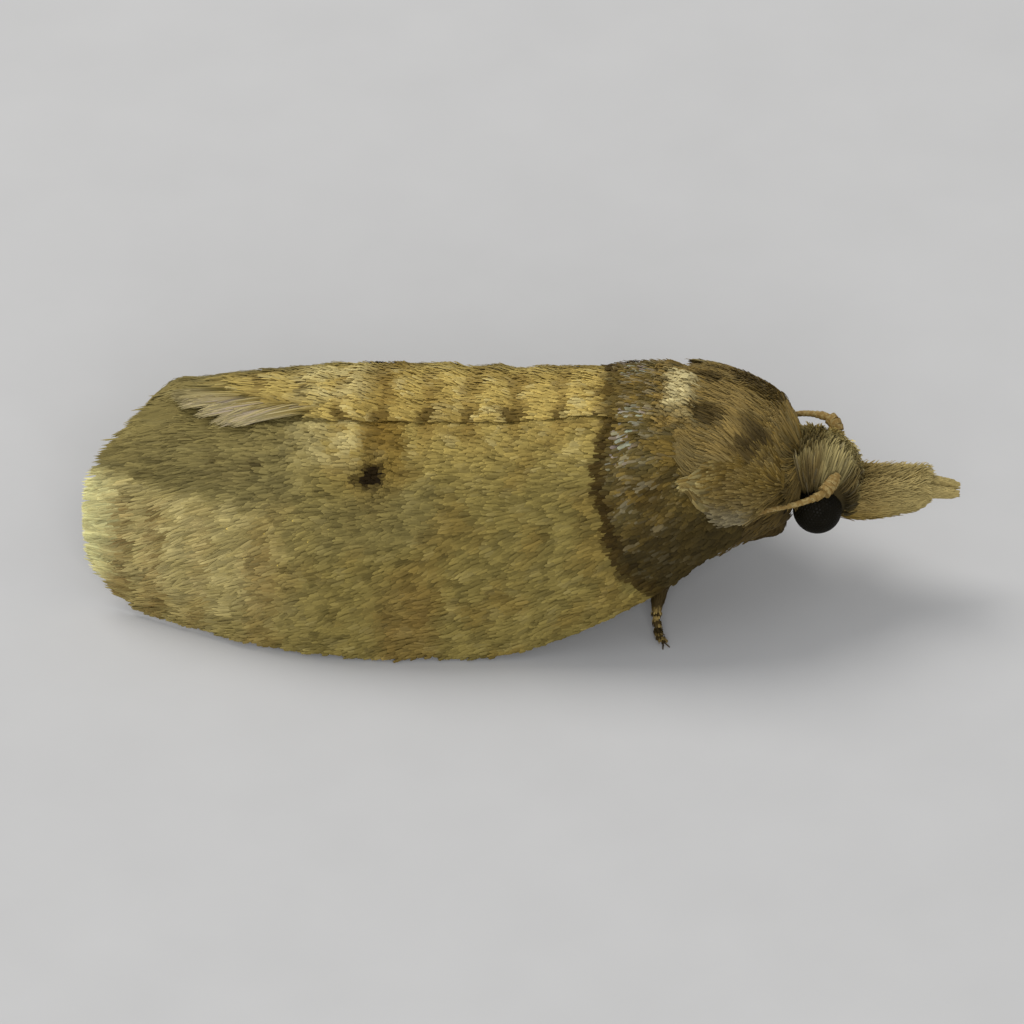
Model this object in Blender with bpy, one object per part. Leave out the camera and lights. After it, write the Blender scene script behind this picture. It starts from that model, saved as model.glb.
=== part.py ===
"""A small leafroller moth at rest, its wings folded like a roof, at life size.

The head points along +X, the left side is +Y and the floor is z = 0. Sizes are in
millimetres and become metres when a mesh is made. The folded wings, the tegulae and
the back of the thorax all follow one outer surface, the roof, parted by thin gaps.
"""

import bisect
import math

import bpy
import bmesh
from mathutils import Vector

MM = 0.001
SIDES = (("left", 1), ("right", -1))

GAP = 0.22
RIM = 0.1
FOREWING_THICK = 0.45
HINDWING_DEPTH = FOREWING_THICK + GAP
HINDWING_THICK = 0.38
TEGULA_THICK = 0.4


def profile(*points):
    """A smooth curve through (x, value) points, which never overshoots them."""
    xs, values = zip(*sorted(points))
    steps = [(values[i + 1] - values[i]) / (xs[i + 1] - xs[i]) for i in range(len(xs) - 1)]
    inner = [0 if a * b <= 0 else 2 * a * b / (a + b) for a, b in zip(steps, steps[1:])]
    slopes = [steps[0], *inner, steps[-1]]

    def value(x):
        x = min(max(x, xs[0]), xs[-1])
        i = min(bisect.bisect_right(xs, x), len(xs) - 1) - 1
        span = xs[i + 1] - xs[i]
        t = (x - xs[i]) / span
        ease = t * t * (3 - 2 * t)
        lead = t * (1 - t) * (1 - t) * span * slopes[i]
        trail = t * t * (1 - t) * span * slopes[i + 1]
        return values[i] + ease * (values[i + 1] - values[i]) + lead - trail

    return value


# The roof along x: its half width, the height of its ridge and of its widest line.
ROOF_HALF = profile(
    (-6.0, 1.2), (-5.5, 1.48), (-4.7, 1.82), (-3.4, 2.27), (-2.15, 2.45), (-0.5, 2.36),
    (0.7, 2.2), (1.8, 2.0), (2.45, 1.8), (2.85, 1.62), (3.2, 1.45), (3.75, 1.15),
)
ROOF_RIDGE = profile(
    (-6.0, 2.2), (-4.95, 2.45), (-3.85, 2.54), (-1.95, 2.7), (-0.35, 2.76), (1.2, 2.93),
    (1.7, 3.0), (2.4, 2.96), (2.95, 2.86), (3.25, 2.73), (3.75, 2.36),
)
ROOF_WIDEST = profile(
    (-6.0, 0.06), (-0.3, 0.06), (0.7, 0.3), (1.8, 0.86), (2.45, 1.2), (2.85, 1.4), (3.75, 1.55),
)

# Edges on the roof, as degrees round from the ridge. The left forewing's inner edge
# crosses the ridge and lies on the right one, which is trimmed to meet it.
OVER_RIDGE = profile(
    (-4.6, 4), (-4.0, 1), (-2.9, -8), (-2.0, -11), (1.0, -8), (1.4, 3), (1.75, 16), (2.0, 27),
    (2.2, 39), (2.45, 53), (2.8, 67), (3.1, 74),
)
UNDER_RIDGE = profile(
    (-4.6, 9), (-4.0, 8), (-2.9, 13), (-2.0, 16), (1.0, 14), (1.4, 13), (1.75, 16), (2.0, 27),
    (2.2, 39), (2.45, 53), (2.8, 67), (3.1, 74),
)
COSTA = profile((-6.0, 86), (-5.0, 90), (1.8, 90), (2.85, 87), (3.1, 84))
THORAX_EDGE = profile(
    (1.5, 3), (1.75, 8.5), (2.0, 19), (2.2, 29), (2.45, 36), (2.8, 34), (3.6, 35),
)
TEGULA_TOP = profile((2.5, 45), (2.7, 42.5), (3.1, 41.5), (3.5, 43))
TEGULA_LOW = profile((2.5, 48), (2.65, 52.5), (2.8, 58), (3.1, 65), (3.3, 63.5), (3.5, 54))
HINDWING_TOP = profile((-4.2, 16), (-2.5, 8), (0.3, 9), (1.1, 25), (1.5, 40))
HINDWING_LOW = profile((-4.2, 62), (-2.0, 70), (0.0, 70), (1.5, 62))

# Where each membrane ends, by the share of the way from its inner edge to its costa.
FOREWING_ROOT_X = 3.08
FOREWING_END = profile((0, -4.5), (0.15, -4.72), (0.4, -5.25), (0.62, -5.5), (0.8, -5.45), (1, -5.05))
HINDWING_ROOT_X = 1.5
HINDWING_END = profile((0, -3.2), (0.4, -3.75), (0.75, -3.9), (1, -3.3))

FOREWING_ROWS = 15
HINDWING_ROWS = 9
FOREWING_VEINS = (0.16, 0.33, 0.5, 0.67, 0.84)
HINDWING_VEINS = (0.35, 0.7)
VEIN_HEIGHT = 0.05
VEIN_HALF_WIDTH = 0.03
VEIN_START = 0.12

FOREWING_FRINGE = 18
HINDWING_FRINGE = 7
RIDGE_FRINGE = 5
FRINGE_LENGTH = 0.5
FRINGE_ROOT = 0.2

TEGULA_FRONT = 3.5
TEGULA_REAR = 2.5
TEGULA_LOCK_TURNS = (43.5, 45.5, 47)

# The thorax under the wings: half width, height of its middle and half height.
THORAX_FRONT = 3.6
THORAX_REAR = 1.62
CORE_HALF = profile((1.6, 0.6), (2.2, 0.72), (3.0, 0.7), (3.6, 0.48))
CORE_MIDDLE = profile((1.6, 1.25), (2.4, 1.32), (3.6, 1.5))
CORE_TALL = profile((1.6, 0.48), (2.4, 0.6), (3.0, 0.56), (3.6, 0.4))
# Rows of hair scales on the back: x of the roots, length, count, how deep the roots
# are sunk and how far the tips rise. The last row is the pale crest.
THORAX_ROWS = (
    (3.5, 0.5, 7, 0.12, 0.03), (3.12, 0.5, 7, 0.12, 0.03), (2.74, 0.5, 7, 0.12, 0.03),
    (2.4, 0.52, 5, 0.14, 0.04), (2.1, 0.5, 5, 0.16, 0.06),
)
THORAX_ROW_REACH = 0.82

ABDOMEN_FRONT = 1.38
ABDOMEN_LENGTH = 4.7
ABDOMEN_MIDDLE = 0.76
ABDOMEN_TALL = 0.55
ABDOMEN_WIDE = 1.2
ABDOMEN_STEPS = 16
TAIL_LOCKS = 6

EYE_CENTRE = (4.08, 0.55, 1.46)
EYE_RADIUS = 0.34
EYE_FLAT = 0.46
SOCKET_GAP = 0.17
HEAD_CENTRE = (4.2, 0.0, 1.56)
HEAD_HALF = (0.38, 0.62, 0.47)
# Rows of hair scales on the head, from the nape to the mouth: x and z of the roots
# and of the tips, the half width of each row at its roots and tips, and the count.
HEAD_ROWS = (
    (3.98, 1.78, 3.97, 2.3, 0.2, 0.44, 6), (4.07, 1.84, 4.22, 2.36, 0.22, 0.34, 5),
    (4.2, 1.84, 4.46, 2.29, 0.22, 0.32, 5), (4.3, 1.78, 4.6, 2.1, 0.22, 0.36, 5),
    (4.36, 1.64, 4.67, 1.88, 0.2, 0.34, 4), (4.36, 1.4, 4.64, 1.5, 0.16, 0.22, 3),
    (4.28, 1.28, 4.6, 1.16, 0.14, 0.2, 3),
)

# The palps along x: height of the middle, half height, half width, distance apart.
PALP_ROOT = 4.75
PALP_TIP = 5.97
PALP_MIDDLE = profile((4.62, 1.36), (5.1, 1.46), (5.55, 1.46), (5.97, 1.51))
PALP_TALL = profile((4.62, 0.2), (4.85, 0.31), (5.3, 0.28), (5.5, 0.2), (5.62, 0.12), (5.97, 0.04))
PALP_WIDE = profile((4.62, 0.14), (4.85, 0.18), (5.3, 0.17), (5.6, 0.11), (5.97, 0.04))
PALP_APART = profile((4.62, 0.3), (5.3, 0.29), (5.97, 0.16))
PALP_LOCKS_START = 4.86
PALP_LOCKS_STEP = 0.16
# Each row of locks on a palp: degrees up from its outer side, and length.
PALP_LOCK_ROWS = ((90, 0.3), (10, 0.28), (-86, 0.28))

ANTENNA_PATH = (
    (4.3, 0.58, 2.18), (4.2, 0.84, 2.2), (4.0, 1.0, 2.14), (3.76, 1.13, 1.9), (3.5, 1.19, 1.58),
    (3.2, 1.15, 1.22), (2.85, 1.12, 1.1), (2.2, 1.08, 1.04), (1.7, 1.1, 0.98), (1.2, 1.2, 0.9),
    (0.6, 1.44, 0.76),
)
ANTENNA_RADIUS = profile((0, 0.16), (0.05, 0.21), (0.1, 0.2), (0.14, 0.19), (0.9, 0.15), (1, 0.06))

# Each leg from its hip to its foot. The forelegs are folded against the breast. The
# last two points of the others lie along the floor.
FOOT = 0.14
LEG_PATHS = {
    "foreleg": (
        (3.55, 0.36, 0.82), (3.3, 0.37, 0.68), (3.05, 0.37, 0.55), (2.92, 0.36, 0.49),
    ),
    "midleg": (
        (2.4, 0.28, 0.36), (2.32, 0.8, 0.46), (2.15, 1.15, 0.44), (2.02, 1.42, 0.28), (1.98, 1.6, FOOT),
        (2.03, 1.78, FOOT),
    ),
    "hindleg": (
        (1.8, 0.3, 0.38), (1.45, 1.0, 0.4), (0.2, 1.4, 0.24), (-0.9, 1.42, FOOT), (-1.5, 1.42, FOOT),
    ),
}
LEG_RADIUS = profile((0, 0.16), (0.1, 0.22), (0.6, 0.21), (0.75, 0.2), (0.95, 0.2), (1, 0.12))


def roof(x, turn, depth=0.0):
    """The point at x, turn degrees round from the ridge (left is plus), depth inside."""
    a = math.radians(turn)
    rise = ROOF_RIDGE(x) - ROOF_WIDEST(x)
    half = ROOF_HALF(x)
    normal = Vector((0, math.sin(a) * rise, math.cos(a) * half)).normalized()
    return Vector((x, half * math.sin(a), ROOF_WIDEST(x) + rise * math.cos(a))) - normal * depth


def roof_normal(x, turn):
    return (roof(x, turn) - roof(x, turn, 1)).normalized()


def clear_scene():
    for obj in list(bpy.data.objects):
        bpy.data.objects.remove(obj)


def material(name, colour, roughness):
    made = bpy.data.materials.new(name)
    made.use_nodes = True
    shader = made.node_tree.nodes["Principled BSDF"]
    shader.inputs["Base Color"].default_value = (*colour, 1)
    shader.inputs["Roughness"].default_value = roughness
    shader.inputs["Metallic"].default_value = 0
    return made


def mesh_object(name, points, faces):
    """A closed mesh from points in millimetres, split into triangles facing outwards."""
    mesh = bpy.data.meshes.new(name)
    mesh.from_pydata([Vector(p) * MM for p in points], [], faces)
    work = bmesh.new()
    work.from_mesh(mesh)
    bmesh.ops.triangulate(work, faces=work.faces)
    bmesh.ops.recalc_face_normals(work, faces=work.faces)
    if work.calc_volume(signed=True) < 0:
        bmesh.ops.reverse_faces(work, faces=work.faces)
    work.to_mesh(mesh)
    work.free()
    obj = bpy.data.objects.new(name, mesh)
    bpy.context.scene.collection.objects.link(obj)
    return obj


def plate(name, outer, inner):
    """A closed plate between two grids of points, split into triangles alike."""
    rows, columns = len(outer), len(outer[0])
    points = [p for row in outer for p in row] + [p for row in inner for p in row]
    back = rows * columns
    faces = []
    for i in range(rows - 1):
        for j in range(columns - 1):
            a = i * columns + j
            b, c, d = a + 1, a + columns + 1, a + columns
            faces += [(a, b, c), (a, c, d)]
            faces += [(back + a, back + c, back + b), (back + a, back + d, back + c)]
    corner = back - columns
    rim = list(range(columns - 1))
    rim += [(i + 1) * columns - 1 for i in range(rows - 1)]
    rim += list(range(back - 1, corner, -1))
    rim += [i * columns for i in range(rows - 1, 0, -1)]
    for a, b in zip(rim, rim[1:] + rim[:1]):
        faces += [(a, back + a, back + b), (a, back + b, b)]
    return mesh_object(name, points, faces)


def loft(name, rings):
    """A closed solid through rings of points, with a flat cap at each end."""
    count = len(rings[0])
    points = [p for ring in rings for p in ring]
    faces = []
    for i in range(len(rings) - 1):
        for j in range(count):
            a, b = i * count + j, i * count + (j + 1) % count
            faces.append((a, b, b + count, a + count))
    faces.append(tuple(range(count))[::-1])
    faces.append(tuple(range(len(points) - count, len(points))))
    return mesh_object(name, points, faces)


def turns(count):
    """Angles spread evenly round a full circle."""
    return [2 * math.pi * k / count for k in range(count)]


def smooth_path(points, steps):
    """Points along a smooth curve through the given ones."""
    points = [Vector(p) for p in points]
    ends = [2 * points[0] - points[1], *points, 2 * points[-1] - points[-2]]
    path = []
    for a, b, c, d in zip(ends, ends[1:], ends[2:], ends[3:]):
        for i in range(steps):
            t = i / steps
            bend = (2 * a - 5 * b + 4 * c - d) * t * t + (3 * b - a - 3 * c + d) * t ** 3
            path.append((2 * b + (c - a) * t + bend) / 2)
    return [*path, points[-1]]


def tube(name, path, radius, floor=None):
    """An eight-sided tube, with radius(t) along it. Points that would lie below the
    floor are raised to it, which leaves a small flat to stand on."""
    rings = []
    across = Vector((0, 1, 0))
    for i, point in enumerate(path):
        along = (path[min(i + 1, len(path) - 1)] - path[max(i - 1, 0)]).normalized()
        across = (across - along * across.dot(along)).normalized()
        up = across.cross(along).normalized()
        r = radius(i / (len(path) - 1))
        ring = []
        for a in turns(8):
            a += math.pi / 8
            p = point + across * (r * math.cos(a)) + up * (r * math.sin(a))
            if floor is not None:
                p.z = max(p.z, floor)
            ring.append(p)
        rings.append(ring)
    return loft(name, rings)


def lock(root, tip, normal, width, thick):
    """A flat tapered lock of hair scales from root to tip, bent a little outwards."""
    root, tip = Vector(root), Vector(tip)
    along = (tip - root).normalized()
    across = along.cross(Vector(normal)).normalized()
    normal = across.cross(along).normalized()
    bend = 0.06 * (tip - root).length
    points = []
    for t, broad, deep in ((0, 0.8, 1.0), (0.6, 1.0, 0.75)):
        middle = root.lerp(tip, t) + normal * (bend * t)
        for sx, sz in ((1, 0), (0, 1), (-1, 0), (0, -1)):
            points.append(middle + across * (width / 2 * broad * sx) + normal * (thick / 2 * deep * sz))
    points.append(tip)
    faces = [(3, 2, 1, 0)]
    for j in range(4):
        k = (j + 1) % 4
        faces += [(j, k, k + 4, j + 4), (j + 4, k + 4, 8)]
    return mesh_object("lock", points, faces)


def boolean(obj, others, operation):
    """Joins the other closed meshes to obj, or cuts them from it, and removes them."""
    group = bpy.data.collections.new(obj.name + "_others")
    bpy.context.scene.collection.children.link(group)
    for other in others:
        group.objects.link(other)
        bpy.context.scene.collection.objects.unlink(other)
    change = obj.modifiers.new(operation.lower(), "BOOLEAN")
    change.operation = operation
    change.operand_type = "COLLECTION"
    change.collection = group
    change.solver = "EXACT"
    graph = bpy.context.evaluated_depsgraph_get()
    mesh = bpy.data.meshes.new_from_object(obj.evaluated_get(graph))
    obj.modifiers.clear()
    obj.data = mesh
    for other in others:
        bpy.data.objects.remove(other)
    bpy.data.collections.remove(group)
    return keep_largest(obj)


def keep_largest(obj):
    """Keeps only the closed surface with the largest volume."""
    work = bmesh.new()
    work.from_mesh(obj.data)
    bmesh.ops.triangulate(work, faces=work.faces)
    unseen = set(work.verts)
    best, most = set(), -1.0
    while unseen:
        group, edge = set(), [unseen.pop()]
        while edge:
            vert = edge.pop()
            if vert not in group:
                group.add(vert)
                edge += [e.other_vert(vert) for e in vert.link_edges]
        unseen -= group
        faces = {f for v in group for f in v.link_faces}
        size = sum(f.verts[0].co.dot(f.verts[1].co.cross(f.verts[2].co)) for f in faces)
        if size > most:
            best, most = group, size
    bmesh.ops.delete(work, geom=[v for v in work.verts if v not in best], context="VERTS")
    work.to_mesh(obj.data)
    work.free()
    return obj


def finish(obj, colour, roughness=0.6):
    obj.data.materials.clear()
    obj.data.materials.append(material(obj.name.replace("_", " "), colour, roughness))
    obj.data.shade_smooth()
    obj.data.set_sharp_from_angle(angle=math.radians(35))
    return obj


def forewing_edges(side, x):
    inner = OVER_RIDGE(x) if side > 0 else UNDER_RIDGE(x)
    return inner * side, COSTA(x) * side


def hindwing_edges(side, x):
    return HINDWING_TOP(x) * side, HINDWING_LOW(x) * side


def wing(name, side, edges, root_x, end, rows, veins, depth, thick):
    """A curved wing plate, its main veins raised as ridges in its own outer face."""
    columns = {0.0, 1.0}
    for share in veins:
        columns |= {share - VEIN_HALF_WIDTH, share, share + VEIN_HALF_WIDTH}
    for a, b in zip((0, *veins), (*veins, 1)):
        columns.add((a + b) / 2)
    outer, inner = [], []
    for i in range(rows + 1):
        along = i / rows
        outer.append([])
        inner.append([])
        for share in sorted(columns):
            x = root_x + (end(share) - root_x) * along
            first, last = edges(side, x)
            turn = first + (last - first) * share
            rim = RIM if share in (0.0, 1.0) or i in (0, rows) else 0.0
            lift = VEIN_HEIGHT if share in veins and along > VEIN_START else 0.0
            outer[-1].append(roof(x, turn, depth + rim - lift))
            inner[-1].append(roof(x, turn, depth + thick - rim))
    return plate(name, outer, inner)


def fringe(side, edges, end, depth, thick, count):
    """Locks along a wing's hind margin, fanned a little towards its two ends."""
    locks = []
    middle = depth + thick / 2
    for i in range(count):
        share = 0.04 + 0.9 * (i + 0.5) / count
        x = end(share)
        first, last = edges(side, x)
        turn = first + (last - first) * share
        fan = 0.04 * (last - first) * (share - 0.5)
        reach = FRINGE_LENGTH * (0.9 if i % 2 else 1.0)
        root = roof(x + FRINGE_ROOT, turn, middle)
        tip = roof(x - reach, turn + fan, middle - 0.05)
        pitch = ROOF_HALF(x) * math.radians(abs(last - first)) / count
        locks.append(lock(root, tip, roof_normal(x, turn), 1.9 * pitch, thick * 0.6))
    return locks


def ridge_fringe():
    """The long pale locks at the end of the left wing's inner edge, laid back along
    the ridge."""
    locks = []
    for i in range(RIDGE_FRINGE):
        x = -3.1 - 0.28 * i
        root = roof(x, OVER_RIDGE(x) + 5, 0.16)
        tip = roof(x - 0.95, 1.5 + 0.8 * i, 0.02)
        locks.append(lock(root, tip, roof_normal(x, 0), 0.22, 0.16))
    return locks


def forewing(label, side):
    body = wing("forewing_" + label, side, forewing_edges, FOREWING_ROOT_X, FOREWING_END,
                FOREWING_ROWS, FOREWING_VEINS, 0.0, FOREWING_THICK)
    locks = fringe(side, forewing_edges, FOREWING_END, 0.0, FOREWING_THICK, FOREWING_FRINGE)
    if side > 0:
        locks += ridge_fringe()
    boolean(body, locks, "UNION")
    return finish(body, (0.36, 0.23, 0.075))


def hindwing(label, side):
    body = wing("hindwing_" + label, side, hindwing_edges, HINDWING_ROOT_X, HINDWING_END,
                HINDWING_ROWS, HINDWING_VEINS, HINDWING_DEPTH, HINDWING_THICK)
    locks = fringe(side, hindwing_edges, HINDWING_END, HINDWING_DEPTH, HINDWING_THICK, HINDWING_FRINGE)
    boolean(body, locks, "UNION")
    return finish(body, (0.3, 0.26, 0.2))


def tegula(label, side):
    """The scaly flap over the root of the forewing, with loose tips at its rear."""
    outer, inner = [], []
    rows, columns = 8, 5
    for i in range(rows + 1):
        x = TEGULA_FRONT + (TEGULA_REAR - TEGULA_FRONT) * i / rows
        outer.append([])
        inner.append([])
        for j in range(columns + 1):
            turn = TEGULA_TOP(x) + (TEGULA_LOW(x) - TEGULA_TOP(x)) * j / columns
            rim = RIM if j in (0, columns) or i in (0, rows) else 0.0
            outer[-1].append(roof(x, turn * side, rim - 0.04))
            inner[-1].append(roof(x, turn * side, TEGULA_THICK - rim))
    body = plate("tegula_" + label, outer, inner)
    locks = []
    for turn in TEGULA_LOCK_TURNS:
        root, tip = roof(2.85, turn * side, 0.14), roof(TEGULA_REAR - 0.05, (turn - 1.5) * side, 0.06)
        locks.append(lock(root, tip, roof_normal(2.7, turn * side), 0.14, 0.16))
    boolean(body, locks, "UNION")
    return finish(body, (0.42, 0.27, 0.1))


def thorax():
    """The body under the wings, with the back that shows between them raised on it
    and its hair scales laid back in rows."""
    rings = []
    steps = 12
    for i in range(steps + 1):
        x = THORAX_REAR + (THORAX_FRONT - THORAX_REAR) * i / steps
        edge = THORAX_EDGE(x)
        half = [roof(x, edge * k / 3, 0.08 if k == 3 else 0.0) for k in range(4)]
        first = max(edge * 1.3, 24)
        for k in range(7):
            a = math.radians(first + (180 - first) * k / 6)
            y, z = CORE_HALF(x) * math.sin(a), CORE_MIDDLE(x) + CORE_TALL(x) * math.cos(a)
            half.append(Vector((x, y, z)))
        rings.append(half + [Vector((x, -p.y, p.z)) for p in half[-2:0:-1]])
    body = loft("thorax", rings)
    locks = []
    for x, length, count, sunk, lift in THORAX_ROWS:
        reach = THORAX_EDGE(x - length) * THORAX_ROW_REACH
        width = 4.2 * math.radians(reach) * ROOF_HALF(x) / count
        for k in range(count):
            turn = reach * (2 * k / (count - 1) - 1)
            root, tip = roof(x, turn * 0.94, sunk), roof(x - length, turn, -lift)
            locks.append(lock(root, tip, roof_normal(x, turn), width, 0.17))
    boolean(body, locks, "UNION")
    return finish(body, (0.4, 0.25, 0.09))


def abdomen():
    """The hind body, hidden under the wings, its rings as shallow steps, with a tuft
    at its end."""
    rings = []
    for i in range(ABDOMEN_STEPS + 1):
        x = ABDOMEN_FRONT - ABDOMEN_LENGTH * i / ABDOMEN_STEPS
        taper = math.sqrt(max(0.05, 1 - max(0.0, (-0.6 - x) / 2.9) ** 2.4))
        tall = ABDOMEN_TALL * taper * (1 + 0.05 * (i % 2))
        rings.append([
            (x, ABDOMEN_WIDE * tall * math.cos(a), ABDOMEN_MIDDLE + tall * math.sin(a))
            for a in turns(12)
        ])
    body = loft("abdomen", rings)
    end = ABDOMEN_FRONT - ABDOMEN_LENGTH
    locks = []
    for a in turns(TAIL_LOCKS):
        root = (end + 0.17, 0.12 * math.cos(a), ABDOMEN_MIDDLE + 0.1 * math.sin(a))
        tip = (end - 0.34, 0.2 * math.cos(a), ABDOMEN_MIDDLE + 0.16 * math.sin(a))
        locks.append(lock(root, tip, (0, math.cos(a), math.sin(a)), 0.22, 0.13))
    boolean(body, locks, "UNION")
    return finish(body, (0.33, 0.26, 0.17))


def eye_solid(name, side, grow=0.0):
    """The dome of an eye, flat where it faces the head. grow makes its socket."""
    x, y, z = EYE_CENTRE
    radius = EYE_RADIUS + grow
    start = math.acos((y - EYE_FLAT + grow) / radius)
    rings = []
    for i in range(7):
        a = start + (math.radians(168) - start) * i / 6
        rings.append([
            (x + radius * math.sin(a) * math.cos(b), side * (y - radius * math.cos(a)),
             z + radius * math.sin(a) * math.sin(b))
            for b in turns(14)
        ])
    return loft(name, rings)


def eye(label, side):
    return finish(eye_solid("eye_" + label, side), (0.02, 0.014, 0.012), 0.25)


def head():
    """The head capsule between the eyes, under its upswept fan of hair scales."""
    x, y, z = HEAD_CENTRE
    long, wide, tall = HEAD_HALF
    rings = []
    for i in range(10):
        a = math.pi * (i + 0.35) / 9.7
        rings.append([
            (x + long * math.sin(a) * math.cos(b), y - wide * math.cos(a),
             z + tall * math.sin(a) * math.sin(b))
            for b in turns(16)
        ])
    body = loft("head", rings)
    boolean(body, [eye_solid("socket", side, SOCKET_GAP) for _, side in SIDES], "DIFFERENCE")
    locks = []
    for root_x, root_z, tip_x, tip_z, half, tip_half, count in HEAD_ROWS:
        for k in range(count):
            across = 2 * k / (count - 1) - 1
            root = (root_x, half * across, root_z)
            tip = (tip_x, tip_half * across, tip_z - 0.08 * across * across)
            locks.append(lock(root, tip, (1, 0, 2), 0.27, 0.13))
    boolean(body, locks, "UNION")
    return finish(body, (0.45, 0.3, 0.12))


def palp_point(side, x, angle, out=1.0, lift=0.0):
    """A point of the palp's skin at x, angle up from its outer side. out moves it
    towards the middle, and lift away from it."""
    wide, tall = out * PALP_WIDE(x) + lift, out * PALP_TALL(x) + lift
    y = PALP_APART(x) + wide * math.cos(angle)
    return Vector((x, side * y, PALP_MIDDLE(x) + tall * math.sin(angle)))


def palp(label, side):
    """A feeler beside the mouth: a broad length with rough scales and a thin tip."""
    steps = 11
    rings = []
    for i in range(steps + 1):
        x = PALP_ROOT + (PALP_TIP - PALP_ROOT) * i / steps
        rings.append([palp_point(side, x, a) for a in turns(10)])
    body = loft("palp_" + label, rings)
    locks = []
    for i in range(4):
        x = PALP_LOCKS_START + PALP_LOCKS_STEP * i
        for turn, reach in PALP_LOCK_ROWS:
            stagger = 14 * (-1) ** i if abs(turn) < 45 else 0
            a = math.radians(turn - stagger)
            root = palp_point(side, x, a, out=0.6)
            tip = palp_point(side, x + reach, a, lift=0.04)
            locks.append(lock(root, tip, (0, side * math.cos(a), math.sin(a)), 0.2, 0.13))
    boolean(body, locks, "UNION")
    return finish(body, (0.42, 0.27, 0.11))


def antenna(label, side):
    """A feeler from the brow, laid back under the tegula and along the wing's edge."""
    path = smooth_path([(x, side * y, z) for x, y, z in ANTENNA_PATH], 2)
    return finish(tube("antenna_" + label, path, ANTENNA_RADIUS), (0.4, 0.27, 0.12))


def leg(kind, label, side):
    path = smooth_path([(x, side * y, z) for x, y, z in LEG_PATHS[kind]], 3)
    return finish(tube(kind + "_" + label, path, LEG_RADIUS, floor=0.0), (0.2, 0.13, 0.07))


def build():
    clear_scene()
    thorax()
    abdomen()
    head()
    for label, side in SIDES:
        eye(label, side)
        palp(label, side)
        antenna(label, side)
        tegula(label, side)
        forewing(label, side)
        hindwing(label, side)
        for kind in LEG_PATHS:
            leg(kind, label, side)


build()
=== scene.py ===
# %% [markdown]
# # A small leafroller moth, still and at life size
#
# The animal is twelve millimetres long and rests with its wings folded like a roof.
# Nearly all that can be seen of it is scales: flat ones on the wings, hair-like ones on
# the back, the head and the palps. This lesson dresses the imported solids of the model
# with a skin, thin wings and some ninety thousand scales, each a small closed mesh.
# The head points along +X, the left side is +Y and the floor is z = 0.

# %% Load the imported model
import math
from collections import namedtuple
from types import SimpleNamespace

import bpy
import bmesh
import numpy as np
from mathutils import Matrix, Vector


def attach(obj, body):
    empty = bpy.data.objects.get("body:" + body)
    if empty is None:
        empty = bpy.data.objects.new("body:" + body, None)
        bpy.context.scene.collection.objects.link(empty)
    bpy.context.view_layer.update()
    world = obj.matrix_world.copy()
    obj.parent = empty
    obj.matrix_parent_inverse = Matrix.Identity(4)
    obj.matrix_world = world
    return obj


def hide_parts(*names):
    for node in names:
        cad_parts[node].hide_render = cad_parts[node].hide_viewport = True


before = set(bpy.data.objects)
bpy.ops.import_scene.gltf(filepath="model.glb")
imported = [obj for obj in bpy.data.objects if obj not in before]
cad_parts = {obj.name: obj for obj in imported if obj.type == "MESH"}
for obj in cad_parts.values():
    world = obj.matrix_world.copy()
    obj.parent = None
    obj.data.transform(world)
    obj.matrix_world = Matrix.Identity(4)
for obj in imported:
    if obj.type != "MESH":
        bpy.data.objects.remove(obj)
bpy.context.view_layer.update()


def add_object(name, data):
    obj = bpy.data.objects.new(name, data)
    bpy.context.scene.collection.objects.link(obj)
    return obj


# %% [markdown]
# ## Camera
#
# The photograph was taken from the animal's right side with a macro lens, so lines that
# run away from the camera hardly converge. A long lens far off gives the same look. The
# camera stands a few degrees round from square on, and looks down on the ridge.

# %% Set the camera
MM = 0.001
VIEW_AZIMUTH = math.radians(4)
VIEW_ELEVATION = math.radians(38)
CAMERA_DISTANCE = 150 * MM
FIELD_WIDTH = 13.93 * MM
AIM = Vector((-0.112, 0.0, 0.771)) * MM
SENSOR = 36

camera = add_object("camera", bpy.data.cameras.new("camera"))
back = Vector((
    math.sin(VIEW_AZIMUTH) * math.cos(VIEW_ELEVATION),
    -math.cos(VIEW_AZIMUTH) * math.cos(VIEW_ELEVATION),
    math.sin(VIEW_ELEVATION),
))
camera.location = AIM + back * CAMERA_DISTANCE
camera.rotation_euler = back.to_track_quat("Z", "Y").to_euler()
camera.data.sensor_width = SENSOR
camera.data.lens = SENSOR * CAMERA_DISTANCE / FIELD_WIDTH
camera.data.clip_start = 5 * MM
bpy.context.scene.camera = camera
print("the lens is", round(camera.data.lens), "mm long")

# %% [markdown]
# ## Curves that follow a few points
#
# The body's outline, the wings' edges and the lie of the scales all change smoothly from
# tail to head. A handful of points and a smooth curve that never overshoots them say
# that best. The curve takes whole arrays, because each coat asks it for thousands of
# places at once.

# %% A smooth curve through points
def profile(*points):
    xs, values = np.array(sorted(points), float).T
    steps = np.diff(values) / np.diff(xs)
    level = steps[:-1] * steps[1:] <= 0
    inner = np.where(level, 0, 2 * steps[:-1] * steps[1:] / np.where(level, 1, steps[:-1] + steps[1:]))
    slopes = np.concatenate((steps[:1], inner, steps[-1:]))

    def value(x):
        x = np.clip(x, xs[0], xs[-1])
        i = np.clip(np.searchsorted(xs, x, side="right") - 1, 0, len(xs) - 2)
        span = xs[i + 1] - xs[i]
        t = (x - xs[i]) / span
        ease = t * t * (3 - 2 * t)
        lead = t * (1 - t) * (1 - t) * span * slopes[i]
        trail = t * t * (1 - t) * span * slopes[i + 1]
        return values[i] + ease * (values[i + 1] - values[i]) + lead - trail

    return value


def smooth(value, low, high):
    """0 below low, 1 above high, and a soft step between them."""
    t = np.clip((value - low) / (high - low), 0, 1)
    return t * t * (3 - 2 * t)


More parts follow.
